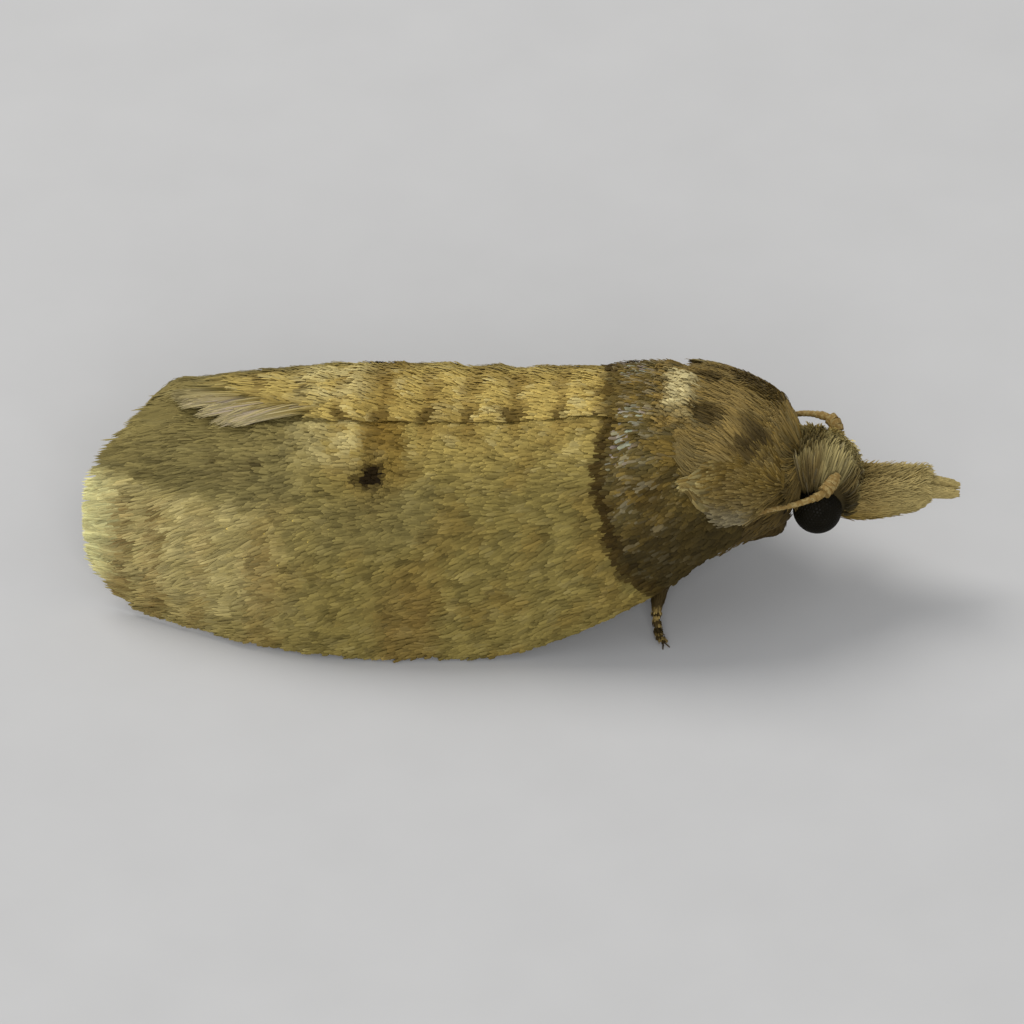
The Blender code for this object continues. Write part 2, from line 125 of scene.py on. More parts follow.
def unit(vectors):
    return vectors / np.maximum(np.linalg.norm(vectors, axis=-1, keepdims=True), 1e-12)


def triples(x, y, z):
    """Rows of three numbers, from arrays or single numbers."""
    return np.stack(np.broadcast_arrays(x, y, z), -1)


# %% [markdown]
# ## The roof
#
# Folded wings, tegulae and the back of the thorax all follow one outer surface, half an
# ellipse at each station along the body. Its sizes are those of the solids, in
# millimetres, so each scale lands where the solid's surface is. A place on it is x and
# the turn in degrees from the ridge, with the left side positive.

# %% The roof's sizes and surface
ROOF_HALF = profile(
    (-6.0, 1.2), (-5.5, 1.48), (-4.7, 1.82), (-3.4, 2.27), (-2.15, 2.45), (-0.5, 2.36),
    (0.7, 2.2), (1.8, 2.0), (2.45, 1.8), (2.85, 1.62), (3.2, 1.45), (3.75, 1.15),
)
ROOF_RIDGE = profile(
    (-6.0, 2.2), (-4.95, 2.45), (-3.85, 2.54), (-1.95, 2.7), (-0.35, 2.76), (1.2, 2.93),
    (1.7, 3.0), (2.4, 2.96), (2.95, 2.86), (3.25, 2.73), (3.75, 2.36),
)
ROOF_WIDEST = profile(
    (-6.0, 0.06), (-0.3, 0.06), (0.7, 0.3), (1.8, 0.86), (2.45, 1.2), (2.85, 1.4), (3.75, 1.55),
)


def roof(x, turn, out=0.0):
    """Points at x and turn degrees from the ridge, raised by out millimetres."""
    x, turn, out = np.broadcast_arrays(*(np.asarray(v, float) for v in (x, turn, out)))
    a = np.radians(turn)
    rise = ROOF_RIDGE(x) - ROOF_WIDEST(x)
    half = ROOF_HALF(x)
    normal = unit(np.stack((0 * x, np.sin(a) * rise, np.cos(a) * half), -1))
    point = np.stack((x, half * np.sin(a), ROOF_WIDEST(x) + rise * np.cos(a)), -1)
    return point + normal * out[..., None]


def body_place(points):
    """What the body's materials read: x, the turn round the roof, and the height."""
    x, y, z = points[:, 0], points[:, 1], points[:, 2]
    rise = np.maximum(ROOF_RIDGE(x) - ROOF_WIDEST(x), 0.1)
    turn = np.degrees(np.arctan2(y / ROOF_HALF(x), (z - ROOF_WIDEST(x)) / rise))
    return np.stack((x, turn, z), -1)


print("the ridge is highest at", round(float(ROOF_RIDGE(np.linspace(-6, 3.7, 98)).max()), 2), "mm")

# %% [markdown]
# ## Meshes from arrays
#
# A scale is far too small to model by hand, and there are tens of thousands of them. Each
# coat is therefore one mesh that is worked out as arrays. One tuft is a spine of a few
# points with a three-sided section round each, which comes to a point at the root and at
# the tip, so every tuft is a closed solid of a dozen triangles or a few more. Every tuft
# also keeps one place on the body and two numbers of chance, from which the materials
# colour it. The map OFBake gives it a small patch of its own, where its root is on the
# unwrapped skin.

# %% Make one object from arrays in millimetres
def array_object(name, points, triangles, material, rounded=True):
    mesh = bpy.data.meshes.new(name)
    mesh.vertices.add(len(points))
    mesh.vertices.foreach_set("co", (np.asarray(points, float) * MM).astype(np.float32).ravel())
    triangles = np.asarray(triangles, np.int32)
    mesh.loops.add(triangles.size)
    mesh.loops.foreach_set("vertex_index", triangles.ravel())
    mesh.polygons.add(len(triangles))
    mesh.polygons.foreach_set("loop_start", np.arange(0, triangles.size, 3, dtype=np.int32))
    mesh.update(calc_edges=True)
    if rounded:
        mesh.shade_smooth()
    else:
        mesh.shade_flat()
    mesh.materials.append(material)
    return add_object(name, mesh)


def give(mesh, name, values):
    """Stores three numbers for each point of a mesh."""
    attribute = mesh.attributes.new(name, "FLOAT_VECTOR", "POINT")
    attribute.data.foreach_set("vector", np.asarray(values, np.float32).ravel())


# %% Dress the solids
def wear(pieces, slot, *replaced):
    """Each piece rides on the one body and replaces nodes of the solids. The slot is not used."""
    for piece in pieces:
        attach(piece, "root")
        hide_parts(*replaced)


# %% Make a coat of tufts
PATCH = 0.003
FLOOR_CLEARANCE = 0.004
SECTION = ((1, 0), (0, 1), (-1, 0))


def tuft_object(name, spines, normals, width, thick, form, place, unwrap, chance, material):
    """A coat. spines holds each tuft's points from root to tip, and form the share of its
    width and thickness at each point between them."""
    count, length = spines.shape[:2]
    width, thick = np.broadcast_to(width, count), np.broadcast_to(thick, count)
    along = unit(np.gradient(spines, axis=1))
    across = unit(np.cross(normals[:, None], along))
    up = np.cross(along, across)
    rings = [spines[:, :1]]
    shares = [np.zeros(1)]
    sides = [np.zeros(1)]
    for k, (broad, deep) in enumerate(form, start=1):
        for side, top in SECTION:
            offset = across[:, k] * (side * broad * width / 2)[:, None]
            offset = offset + up[:, k] * (top * deep * thick)[:, None]
            rings.append((spines[:, k] + offset)[:, None])
            shares.append(np.full(1, k / (length - 1)))
            sides.append(np.full(1, side / 2))
    rings.append(spines[:, -1:])
    shares.append(np.ones(1))
    sides.append(np.zeros(1))
    points = np.concatenate(rings, axis=1)
    points[..., 2] = np.maximum(points[..., 2], FLOOR_CLEARANCE)
    size = points.shape[1]
    one = []
    for j in range(3):
        k = (j + 1) % 3
        one.append((1 + k, 1 + j, 0))
        for ring in range(len(form) - 1):
            a, b = 1 + 3 * ring + j, 1 + 3 * ring + k
            one += [(a, b, b + 3), (a, b + 3, a + 3)]
        one.append((size - 4 + j, size - 4 + k, size - 1))
    triangles = (np.arange(count) * size)[:, None, None] + np.array(one)[None]
    obj = array_object(name, points.reshape(-1, 3), triangles.reshape(-1, 3), material, rounded=False)
    shares, sides = np.concatenate(shares), np.concatenate(sides)
    give(obj.data, "Place", np.repeat(place, size, axis=0))
    tuft = np.stack((
        np.repeat(chance[:, 0], size), np.tile(shares, count), np.repeat(chance[:, 1], size),
    ), -1)
    give(obj.data, "Tuft", tuft)
    uv = np.repeat(np.clip(unwrap, PATCH, 1 - PATCH), size, axis=0)
    uv = uv + PATCH * np.stack((np.tile(sides, count), np.tile(shares - 0.5, count)), -1)
    patches = obj.data.uv_layers.new(name="OFBake")
    patches.data.foreach_set("uv", uv[triangles.reshape(-1)].astype(np.float32).ravel())
    print(f"{name}: {count} tufts, {len(obj.data.polygons)} triangles")
    return obj


# %% [markdown]
# ## Lay tufts along a surface
#
# A surface here is a function of two numbers and a height above it. To cover it evenly,
# the places come from a sequence that fills a square without clumps, and a place is kept
# more often where the square is stretched more. A tuft then follows the surface: its
# direction is turned into steps of the two numbers, and its spine is read from the
# surface again at a few heights, so that it bends with the body and rises to its tip.

# %% The numbers of each coat
# Each coat has a seed for its chance, a number of tufts to the square millimetre, and the
# least and greatest length, width and height of the tip in millimetres. On the wings, the
# head and the legs the lengths are shares of a length that the place sets, and on the wings
# the widths are too.
Coat = namedtuple("Coat", "seed density length width tip")
COATS = {
    "wing below": Coat(3, 300, (0.75, 1.2), (0.75, 1.25), (0.008, 0.018)),
    "wing above": Coat(7, 430, (0.75, 1.2), (0.75, 1.25), (0.012, 0.042)),
    "back": Coat(21, 1500, (0.38, 0.62), (0.026, 0.042), (0.1, 0.2)),
    "crest": Coat(22, 1900, (0.14, 0.28), (0.034, 0.055), (0.0, 0.1)),
    "breast": Coat(23, 420, (0.25, 0.55), (0.03, 0.045), (0.05, 0.27)),
    "saddle": Coat(24, 900, (0.18, 0.28), (0.036, 0.056), (0.03, 0.07)),
    "tegula": Coat(31, 2300, (0.2, 0.42), (0.02, 0.038), (0.015, 0.06)),
    "head": Coat(41, 1500, (0.6, 1.0), (0.018, 0.03), (0.03, 0.08)),
    "palp": Coat(51, 2600, (0.2, 0.38), (0.016, 0.026), (0.015, 0.05)),
    "leg": Coat(61, 1300, (0.8, 1.2), (0.026, 0.04), (0.01, 0.03)),
    "abdomen": Coat(71, 330, (0.16, 0.24), (0.06, 0.085), (0.02, 0.05)),
    "hindwing": Coat(81, 130, (0.75, 1.1), (0.8, 1.2), None),
}


# %% Spread places over a surface
SEQUENCE = (0.7548776662, 0.5698402910, 0.6180339887)


def slopes(surface, u, v):
    step = 1e-3
    here = surface(u, v, 0.0)
    return (surface(u + step, v, 0.0) - here) / step, (surface(u, v + step, 0.0) - here) / step


def spread(surface, u_range, v_range, density, start=0.5):
    """Places on a surface, about density to the square millimetre."""
    probe_u, probe_v = np.meshgrid(np.linspace(*u_range, 40), np.linspace(*v_range, 40))
    area = np.linalg.norm(np.cross(*slopes(surface, probe_u.ravel(), probe_v.ravel())), axis=-1)
    whole = (u_range[1] - u_range[0]) * (v_range[1] - v_range[0])
    most = area.max()
    index = np.arange(1, int(density * whole * most) + 1)
    square = np.stack([(start + index * step) % 1 for step in SEQUENCE])
    u = u_range[0] + square[0] * (u_range[1] - u_range[0])
    v = v_range[0] + square[1] * (v_range[1] - v_range[0])
    local = np.linalg.norm(np.cross(*slopes(surface, u, v)), axis=-1)
    keep = local > square[2] * most
    return u[keep], v[keep]


# %% Lay spines on a surface
def normals_of(surface, u, v):
    return unit(surface(u, v, 0.1) - surface(u, v, 0.0))


def lay(surface, u, v, toward, length, heights, stations):
    """Spines from each place towards a direction, at the heights given for each station."""
    du, dv = slopes(surface, u, v)
    normal = normals_of(surface, u, v)
    toward = unit(toward - normal * np.sum(toward * normal, -1, keepdims=True))
    a, b, c = np.sum(du * du, -1), np.sum(du * dv, -1), np.sum(dv * dv, -1)
    p, q = np.sum(du * toward, -1), np.sum(dv * toward, -1)
    level = np.maximum(a * c - b * b, 1e-9)
    step_u, step_v = (c * p - b * q) / level, (a * q - b * p) / level
    spine = [
        surface(u + step_u * length * t, v + step_v * length * t, h) for t, h in zip(stations, heights)
    ]
    return np.stack(spine, 1)


# %% [markdown]
# ## Nodes as sums
#
# A material's nodes are easier to read as sums than as boxes. The small class below wraps
# one socket, so that an expression such as 1 - mask adds its Math node by itself. Any
# other node, of a material or of Geometry Nodes, comes from one method that takes its
# type, its settings and what goes into its sockets.

# %% A socket that can be added and multiplied
class Wire:
    def __init__(self, nodes, socket):
        self.nodes = nodes
        self.socket = socket

    def __add__(self, other):
        return self.nodes.maths("ADD", self, other)

    def __sub__(self, other):
        return self.nodes.maths("SUBTRACT", self, other)

    def __mul__(self, other):
        return self.nodes.maths("MULTIPLY", self, other)

    def __truediv__(self, other):
        return self.nodes.maths("DIVIDE", self, other)

    def __rsub__(self, other):
        return self.nodes.maths("SUBTRACT", other, self)

    __radd__ = __add__
    __rmul__ = __mul__


# %% The nodes of one tree
class Nodes:
    """The nodes of one material or of one Geometry Nodes tree."""

    def __init__(self, tree):
        self.tree = tree

    def add(self, kind, settings=None, inputs=None, out=0):
        node = self.tree.nodes.new(kind)
        for name, value in (settings or {}).items():
            setattr(node, name, value)
        for key, value in (inputs or {}).items():
            if isinstance(value, Wire):
                self.tree.links.new(value.socket, node.inputs[key])
            else:
                node.inputs[key].default_value = value
        return Wire(self, node.outputs[out]) if node.outputs else node

    def maths(self, operation, a, b=0.0):
        return self.add("ShaderNodeMath", {"operation": operation}, {0: a, 1: b})

    def mix(self, mask, a, b):
        """The colour a where mask is 0 and b where it is 1."""
        a, b = (v if isinstance(v, Wire) else (*v, 1) for v in (a, b))
        return self.add("ShaderNodeMix", {"data_type": "RGBA"}, {0: mask, 6: a, 7: b}, 2)

    def tint(self, colour, amount):
        """A colour made lighter or darker by a number."""
        grey = self.add("ShaderNodeCombineColor", {}, {0: amount, 1: amount, 2: amount})
        settings = {"data_type": "RGBA", "blend_type": "MULTIPLY"}
        return self.add("ShaderNodeMix", settings, {0: 1.0, 6: colour, 7: grey}, 2)

    def step(self, value, low, high):
        """A soft step from 0 at low to 1 at high."""
        settings = {"interpolation_type": "SMOOTHSTEP"}
        return self.add("ShaderNodeMapRange", settings, {0: value, 1: low, 2: high})

    def band(self, value, middle, half, soft):
        """1 within half of the middle, falling softly to 0."""
        return 1 - self.step(self.maths("ABSOLUTE", value - middle), half, half + soft)

    def spot(self, away_x, away_y, low, high):
        """A soft round spot, whose distance from its middle is given in two parts."""
        return 1 - self.step(away_x * away_x + away_y * away_y, low, high)

    def parts(self, vector):
        split = self.add("ShaderNodeSeparateXYZ", {}, {0: vector})
        return [Wire(self, socket) for socket in split.socket.node.outputs]

    def vector(self, x, y, z=0.0):
        return self.add("ShaderNodeCombineXYZ", {}, {0: x, 1: y, 2: z})

    def noise(self, place, scale, detail=2.0):
        return self.add("ShaderNodeTexNoise", {}, {"Vector": place, "Scale": scale, "Detail": detail})

    def object_place(self):
        return self.add("ShaderNodeTexCoord", {}, {}, 3)

    def attribute(self, name):
        return self.parts(self.add("ShaderNodeAttribute", {"attribute_name": name}, {}, 1))


# %% Start a finish
def finish_of(name, colours, roughness=0.6, specular=0.07, relief=None):
    """A material whose colour comes from a function of its nodes. relief is the size in
    millimetres and the strength of a fine bump."""
    material = bpy.data.materials.new(name)
    material.use_nodes = True
    nodes = Nodes(material.node_tree)
    shader = material.node_tree.nodes["Principled BSDF"]
    colour, rough = colours(nodes)
    material.node_tree.links.new(colour.socket, shader.inputs["Base Color"])
    if rough is None:
        shader.inputs["Roughness"].default_value = roughness
    else:
        material.node_tree.links.new(rough.socket, shader.inputs["Roughness"])
    shader.inputs["Specular IOR Level"].default_value = specular
    if relief:
        size, strength = relief
        grain = nodes.noise(nodes.object_place(), 1 / (size * MM), 3.0)
        bump = nodes.add("ShaderNodeBump", {}, {"Strength": strength, "Distance": size * MM, "Height": grain})
        material.node_tree.links.new(bump.socket, shader.inputs["Normal"])
    return material


# %% [markdown]
# ## Markings of the forewing
#
# The wing is ochre and olive, paler and more golden along the ridge, with a dark brown
# line across its base, one blackish dot in its middle, faint brown bars, and a pale
# fringe. All of that is written as soft steps of two numbers: x, and the turn from the
# ridge. Membrane and scales read the same two numbers, so they carry the same markings,
# and since a scale keeps those of its visible end it has one colour, as a real scale does.

# %% Colours of the scales
GOLD = (0.44, 0.325, 0.090)
STRAW = (0.54, 0.45, 0.19)
OCHRE = (0.200, 0.130, 0.028)
OLIVE = (0.220, 0.172, 0.048)
GREY_OLIVE = (0.178, 0.148, 0.054)
UMBER = (0.039, 0.022, 0.003)
DUSK = (0.048, 0.033, 0.009)
SOOT = (0.016, 0.009, 0.0015)
RUSSET = (0.17, 0.092, 0.023)
CREAM = (0.50, 0.42, 0.21)
IVORY = (0.56, 0.48, 0.24)
LIME_CREAM = (0.68, 0.65, 0.31)
ASH = (0.28, 0.25, 0.165)
ICE_GREEN = (0.40, 0.46, 0.34)
ICE_PINK = (0.42, 0.34, 0.31)
GLINT = (0.80, 0.58, 0.12)
SEPIA = (0.150, 0.088, 0.012)
SPOT = (-1.95, 32.0)
TAIL_BARS = ((-5.4, 0.05, 0.5), (-4.93, 0.06, 0.4), (-4.3, 0.06, 0.25), (-3.45, 0.12, 0.25))
SMALL_DOTS = ((-5.06, 37.5), (-4.62, 21.0), (-4.15, 28.0), (-3.57, 29.0), (-3.0, 4.0), (-2.75, -3.0))


# %% What the markings read
def wing_reading(nodes):
    """What the markings read at a place: its numbers, its chance and its noises."""
    x, turn, left = nodes.attribute("Place")
    tone, along, luck = nodes.attribute("Tuft")
    flow = nodes.vector(x, turn / 25, left * 3)
    broad = nodes.noise(flow, 1.3)
    patchy = nodes.noise(flow, 4.5, 3.0)
    streaky = nodes.noise(nodes.vector(x * 0.55, turn / 25, left * 3), 7.0, 3.0)
    fine = nodes.noise(nodes.vector(x * 0.5, turn / 25, 3.0), 16.0)
    wave = (patchy - 0.5) * 0.22
    return SimpleNamespace(
        x=x, turn=turn, left=left, tone=tone, along=along, luck=luck,
        broad=broad, patchy=patchy, streaky=streaky, fine=fine, wave=wave,
    )


# %% [markdown]
# The ground comes first. It is gold along the ridge and olive below, with brown blotches, a
# cream patch, an ochre bar and a shaded fold.

# %% Paint the ground
def ground_of_wing(nodes, at):
    mix, step, band = nodes.mix, nodes.step, nodes.band
    ridge = (1 - step(at.turn + (at.broad - 0.5) * 14, 12.0, 42.0)) * (0.62 + at.left * 0.38)
    colour = mix(ridge, OLIVE, GOLD)
    colour = mix(step(at.patchy, 0.52, 0.68) * (ridge * 0.6 + 0.15), colour, STRAW)
    colour = mix(step(at.broad, 0.46, 0.62) * 0.5, colour, OCHRE)
    # Brown blotches every half millimetre along the ridge.
    comb = nodes.maths("SINE", at.x * 10.5 + at.patchy * 5)
    blotch = step(comb + at.fine, 0.75, 1.35) * (1 - step(at.turn, 10.0, 30.0))
    colour = mix(blotch * 0.7, colour, OCHRE)
    hem = blotch * at.left * (1 - step(at.turn + (at.fine - 0.5) * 6, -7.5, -4.5))
    colour = mix(hem * band(at.x, -1.2, 2.0, 0.5) * 0.6, colour, UMBER)
    # The cream and golden patch below the end of the seam, and the ochre bar before it.
    patch = band(at.x + at.wave, -2.62, 0.42, 0.3) * band(at.turn, 14.0, 10.0, 9.0)
    colour = mix(patch * step(at.patchy, 0.3, 0.6) * 0.7, colour, STRAW)
    bar = band(at.x + at.wave + at.turn * -0.004, -1.93, 0.2, 0.22) * (1 - step(at.turn, 18.0, 40.0))
    colour = mix(bar * (0.8 - at.left * 0.45), colour, SEPIA)
    # A faint bar from the dot down to the costa, and a shaded fold behind it.
    fascia = band(at.x + at.wave - at.turn * 0.004, -1.75, 0.2, 0.4) * step(at.turn, 54.0, 80.0)
    colour = mix(fascia * 0.38, colour, RUSSET)
    fold = band(at.x + at.wave, -1.9, 0.55, 0.6) * band(at.turn + at.x * 4, 39.0, 5.0, 9.0)
    colour = mix(fold * 0.45, colour, GREY_OLIVE)
    return colour, ridge, blotch


# %% [markdown]
# The tail is darker above, where painted shade lies, than below, and carries thin
# upright bars and two rows of dots.

# %% Paint the tail
def tail_of_wing(nodes, at, colour):
    mix, step, band = nodes.mix, nodes.step, nodes.band
    # Olive-grey above, a painted shadow, and pale below, with reddish upright bars.
    edge = band(at.x, -3.7, 1.1, 0.7) * 6 + 38
    tail = 1 - step(at.x + at.wave, -3.3, -2.3)
    tail_shade = tail * (1 - step(at.turn - edge + at.wave * 24, -4.0, 4.0))
    tail_shade = tail_shade * (1 - at.left * (1 - step(at.turn, 14.0, 40.0)) * step(at.x, -4.6, -3.9) * 0.8)
    lower = (1 - step(at.x + at.wave, -4.6, -2.3)) * step(at.turn - edge + at.wave * 24, -4.0, 4.0)
    lower = lower * (1 - step(at.turn, 74.0, 88.0) * 0.6)
    colour = mix(tail_shade * 0.8, colour, GREY_OLIVE)
    colour = mix(lower * (0.45 + step(at.patchy, 0.35, 0.65) * 0.45), colour, STRAW)
    for middle, half, strength in TAIL_BARS:
        bar = band(at.x + at.wave, middle, half, 0.16) * step(at.turn, 42.0, 52.0)
        colour = mix(bar * (0.4 + at.luck) * strength, colour, RUSSET)
    pale_end = (1 - step(at.x + at.wave * 0.8, -5.85, -5.35)) * band(at.turn, 60.0, 18.0, 12.0)
    colour = mix(pale_end * (0.5 + at.luck * 0.5), colour, LIME_CREAM)
    # Small dark dots in two rows behind the middle.
    for dot_x, dot_turn in SMALL_DOTS:
        dot = nodes.spot((at.x + at.wave * 0.5 - dot_x) / 0.12, (at.turn - dot_turn) / 3.0, 0.1, 1.8)
        colour = mix(dot * (0.15 + at.luck * 0.5), colour, DUSK)
    return colour


# %% [markdown]
# The wing's base is the darkest part, and low down it is darker still with painted shade
# under the tegula. A line as dark as umber ends it, and bends with the turn round the roof.

# %% Paint the base
def base_of_wing(nodes, at, colour):
    mix, step, band = nodes.mix, nodes.step, nodes.band
    # Where the line runs at each turn, and how far ahead of it a place is.
    down = nodes.maths("MAXIMUM", (at.turn - 30) / 45, -0.31)
    line_x = down * down * 0.4 + step(at.turn, 72.0, 90.0) * 0.17 + 1.13
    line_x = line_x + band(at.turn, 11.0, 3.0, 9.0) * 0.07 - band(at.turn, 37.0, 3.0, 9.0) * 0.06
    ahead = at.x - line_x + at.wave * 0.8
    base = step(ahead, 0.0, 0.12)
    # Grey-brown, with ashen and icy scales, and darker down the side: partly its own colour
    # and partly painted shade under the tegula.
    ground = mix(step(at.patchy, 0.36, 0.6) * 0.85, OCHRE, DUSK)
    ground = mix(step(at.broad, 0.4, 0.6) * 0.35, ground, GREY_OLIVE)
    ground = mix(step(at.luck, 0.8, 0.95) * 0.16, ground, ASH)
    ground = mix(step(at.turn, 46.0, 74.0) * 0.85, ground, DUSK)
    murk = band(at.x + at.wave, 1.8, 0.1, 0.15) * band(at.turn + at.wave * 20, 47.0, 3.0, 6.0)
    ground = mix(murk * 0.6, ground, UMBER)
    lilac = step(at.streaky, 0.5, 0.6) * step(at.luck, 0.3, 0.6) * band(ahead, 0.35, 0.2, 0.3)
    ground = mix(lilac * 0.4 * (1 - step(at.turn, 50.0, 75.0) * 0.6), ground, ASH)
    colour = mix(base * 0.94, colour, ground)
    ice = band(ahead, 0.26, 0.1, 0.14) * band(at.turn, 22.0, 8.0, 8.0) * step(at.luck, 0.6, 0.75)
    ice_colour = mix(step(at.fine, 0.42, 0.58), ICE_PINK, ICE_GREEN)
    colour = mix(ice * 0.6, colour, ice_colour)
    # The line itself.
    line = band(ahead + (at.fine - 0.5) * 0.18, -0.01, 0.04, 0.11)
    colour = mix(line * (0.8 + step(at.turn, 4.0, 30.0) * 0.15), colour, UMBER)
    colour = mix(line * step(at.turn, 45.0, 70.0) * 0.4, colour, DUSK)
    return colour, base, ice


# %% [markdown]
# The blackish dot comes next. Chance then makes each scale a little lighter or darker, and
# a few of them glint.

# %% Paint the dot and put the wing's colours together
def middle_dot(nodes, at, colour):
    """The dot in the middle of the wing, with a smaller one behind it."""
    spot_x, spot_turn = (at.x - SPOT[0]) / 0.155, (at.turn - SPOT[1]) / 4.3
    away = spot_x * spot_x + spot_turn * spot_turn + (at.fine - 0.5) * 1.8
    spot = 1 - nodes.step(away, 0.5, 1.5)
    spot = spot + nodes.spot((at.x + 2.17) / 0.08, (at.turn - 33.0) / 2.0, 0.6, 1.2) * 0.7
    return nodes.mix(nodes.add("ShaderNodeClamp", {}, {0: spot}), colour, SOOT)


def wing_colours(nodes):
    mix, step, band = nodes.mix, nodes.step, nodes.band
    at = wing_reading(nodes)
    colour, ridge, blotch = ground_of_wing(nodes, at)
    colour = tail_of_wing(nodes, at, colour)
    colour, base, ice = base_of_wing(nodes, at, colour)
    colour = middle_dot(nodes, at, colour)
    # Chance: light and dark scales, dark speckles, and a few golden glints.
    speckle = step(at.luck, 0.92, 0.97) * (0.08 + 0.22 * blotch)
    colour = mix(speckle, colour, UMBER)
    glint = step(at.tone, 0.975, 0.985) * band(at.x, -3.4, 0.7, 0.4) * band(at.turn, 56.0, 7.0, 5.0)
    glint = glint * step(at.along, 0.6, 0.85)
    colour = mix(glint * 0.7, colour, GLINT)
    clump = step(at.fine, 0.36, 0.64)
    mottled = step(at.streaky, 0.38, 0.62) * (0.34 - ridge * 0.16)
    # Each scale is lighter towards its tip: partly its own pale tip and partly painted shade where the row
    # above covers its root.
    shade = 0.47 + at.tone * 0.3 + clump * 0.22 + mottled + step(at.along, 0.5, 0.95) * 0.3 + ridge * 0.22
    # The base is a little darker, and darker still low down: painted shade under the tegula.
    shade = shade * (1 - base * (0.08 + step(at.turn, 50.0, 72.0) * 0.28))
    return nodes.tint(colour, shade), 0.62 - glint * 0.3 - ice * 0.2


wing_finish = finish_of("forewing scales", wing_colours, relief=(0.012, 0.12))
print("the forewing's markings take", len(wing_finish.node_tree.nodes), "nodes")

# %% [markdown]
# ## Forewings
#
# A forewing is a stiff membrane with veins, thinner than paper, and under its scales it
# can hardly be seen. It is modelled as a thin plate between two grids, with the veins
# raised on it. The left wing's inner edge lies over the ridge on the right wing, which
# passes below it. The scales are laid on the same surface, all pointing back and, on the
# wing's side, a little down.

# %% Edges of the wings
OVER_RIDGE = profile(
    (-4.6, 4), (-4.0, 1), (-2.9, -8), (-2.0, -11), (1.0, -10.5), (1.34, -9), (1.45, 2),
    (1.75, 13), (2.0, 22), (2.2, 31), (2.45, 41), (2.8, 54), (3.1, 64),
)
UNDER_RIDGE = profile(
    (-4.6, -10), (-3.5, -5), (-2.0, 1), (1.0, 1), (1.4, 3), (1.75, 13), (2.0, 22), (2.2, 31), (2.45, 41),
    (2.8, 54), (3.1, 64),
)
COSTA = profile((-6.0, 86), (-5.0, 90), (1.8, 90), (2.85, 87), (3.1, 84))
FOREWING_ROOT_X = 3.08
RIGHT_END = profile((0, -4.5), (0.15, -4.72), (0.4, -5.25), (0.62, -5.5), (0.8, -5.45), (1, -5.05))
LEFT_END = profile((0, -4.3), (0.15, -4.42), (0.4, -4.8), (0.62, -5.02), (0.8, -5.12), (1, -5.0))
MEMBRANE_OUT = -0.07
MEMBRANE_THICK = 0.03
UNDER_STEP = 0.075
LEFT_TAIL_DIP = 0.5
MAIN_VEINS = (0.1, 0.22, 0.35, 0.47, 0.58, 0.68, 0.78, 0.88)


# %% A wing's surface
def wing_place(side, along, share):
    """x and turn for a place on a forewing, from root to end and from inner edge to costa."""
    end = LEFT_END(share) if side > 0 else RIGHT_END(share)
    x = FOREWING_ROOT_X + (end - FOREWING_ROOT_X) * along
    first = OVER_RIDGE(x) if side > 0 else UNDER_RIDGE(x)
    return x, first + (COSTA(x) - first) * share


def uneven(u, v, seed):
    """Smooth chance from 0 to 1, which changes over about one unit of u or v."""
    chance = np.random.default_rng(seed).random((64, 64))
    u, v = np.broadcast_arrays(u, v)
    i, j = np.floor(u).astype(int), np.floor(v).astype(int)
    a, b = smooth(u - i, 0, 1), smooth(v - j, 0, 1)
    near = chance[i % 64, j % 64] * (1 - a) + chance[(i + 1) % 64, j % 64] * a
    far = chance[i % 64, (j + 1) % 64] * (1 - a) + chance[(i + 1) % 64, (j + 1) % 64] * a
    return near * (1 - b) + far * b


def wing_relief(x, turn):
    """The wing's slow waves: folds along the ridge, dents and a hollow on its side."""
    folds = 0.018 * np.sin(x * 10.5) * (1 - smooth(turn, 12, 45))
    dents = 0.04 * (uneven(x * 2.6, turn / 9, 5) - 0.5) * smooth(turn, 14, 30)
    hollow = -0.03 * np.exp(-(((x + 2.0) / 0.9) ** 2) - ((turn - 46) / 11) ** 2)
    return folds + dents + hollow


def forewing_surface(side):
    def surface(along, share, out):
        x, turn = wing_place(side, along, share)
        base = MEMBRANE_OUT + wing_relief(x, turn) * smooth(x, 3.0, 2.0) - 0.06 * smooth(x, 2.2, 2.5)
        if side < 0:
            base = base - UNDER_STEP * (1 - smooth(turn, 9, 16)) * smooth(x, 1.5, 1.2) * smooth(x, -5.2, -4.2)
        else:
            base = base - LEFT_TAIL_DIP * smooth(x, -4.7, -5.6) * smooth(turn, 6, 20)
        return roof(x, side * turn, base + out)
    return surface


# %% Build a membrane between two grids
def plate_object(name, outer, inner, place, material):
    rows, columns = outer.shape[:2]
    points = np.concatenate((outer.reshape(-1, 3), inner.reshape(-1, 3)))
    grid = np.arange(rows * columns).reshape(rows, columns)
    a, b, c, d = grid[:-1, :-1], grid[:-1, 1:], grid[1:, 1:], grid[1:, :-1]
    faces = np.concatenate([np.stack(t, -1).reshape(-1, 3) for t in ((a, b, c), (a, c, d))])
    rim = np.concatenate((grid[0, :-1], grid[:-1, -1], grid[-1, :0:-1], grid[:0:-1, 0]))
    after = np.roll(rim, -1)
    back_of = rows * columns
    walls = np.concatenate((
        np.stack((rim, rim + back_of, after + back_of), -1), np.stack((rim, after + back_of, after), -1),
    ))
    triangles = np.concatenate((faces, faces[:, ::-1] + back_of, walls))
    points[:, 2] = np.maximum(points[:, 2], FLOOR_CLEARANCE)
    obj = array_object(name, points, triangles, material)
    give(obj.data, "Place", np.concatenate((place.reshape(-1, 3),) * 2))
    give(obj.data, "Tuft", np.tile((0.5, 0.5, 0.5), (len(points), 1)))
    work = bmesh.new()
    work.from_mesh(obj.data)
    if work.calc_volume(signed=True) < 0:
        bmesh.ops.reverse_faces(work, faces=work.faces)
    work.to_mesh(obj.data)
    work.free()
    return obj


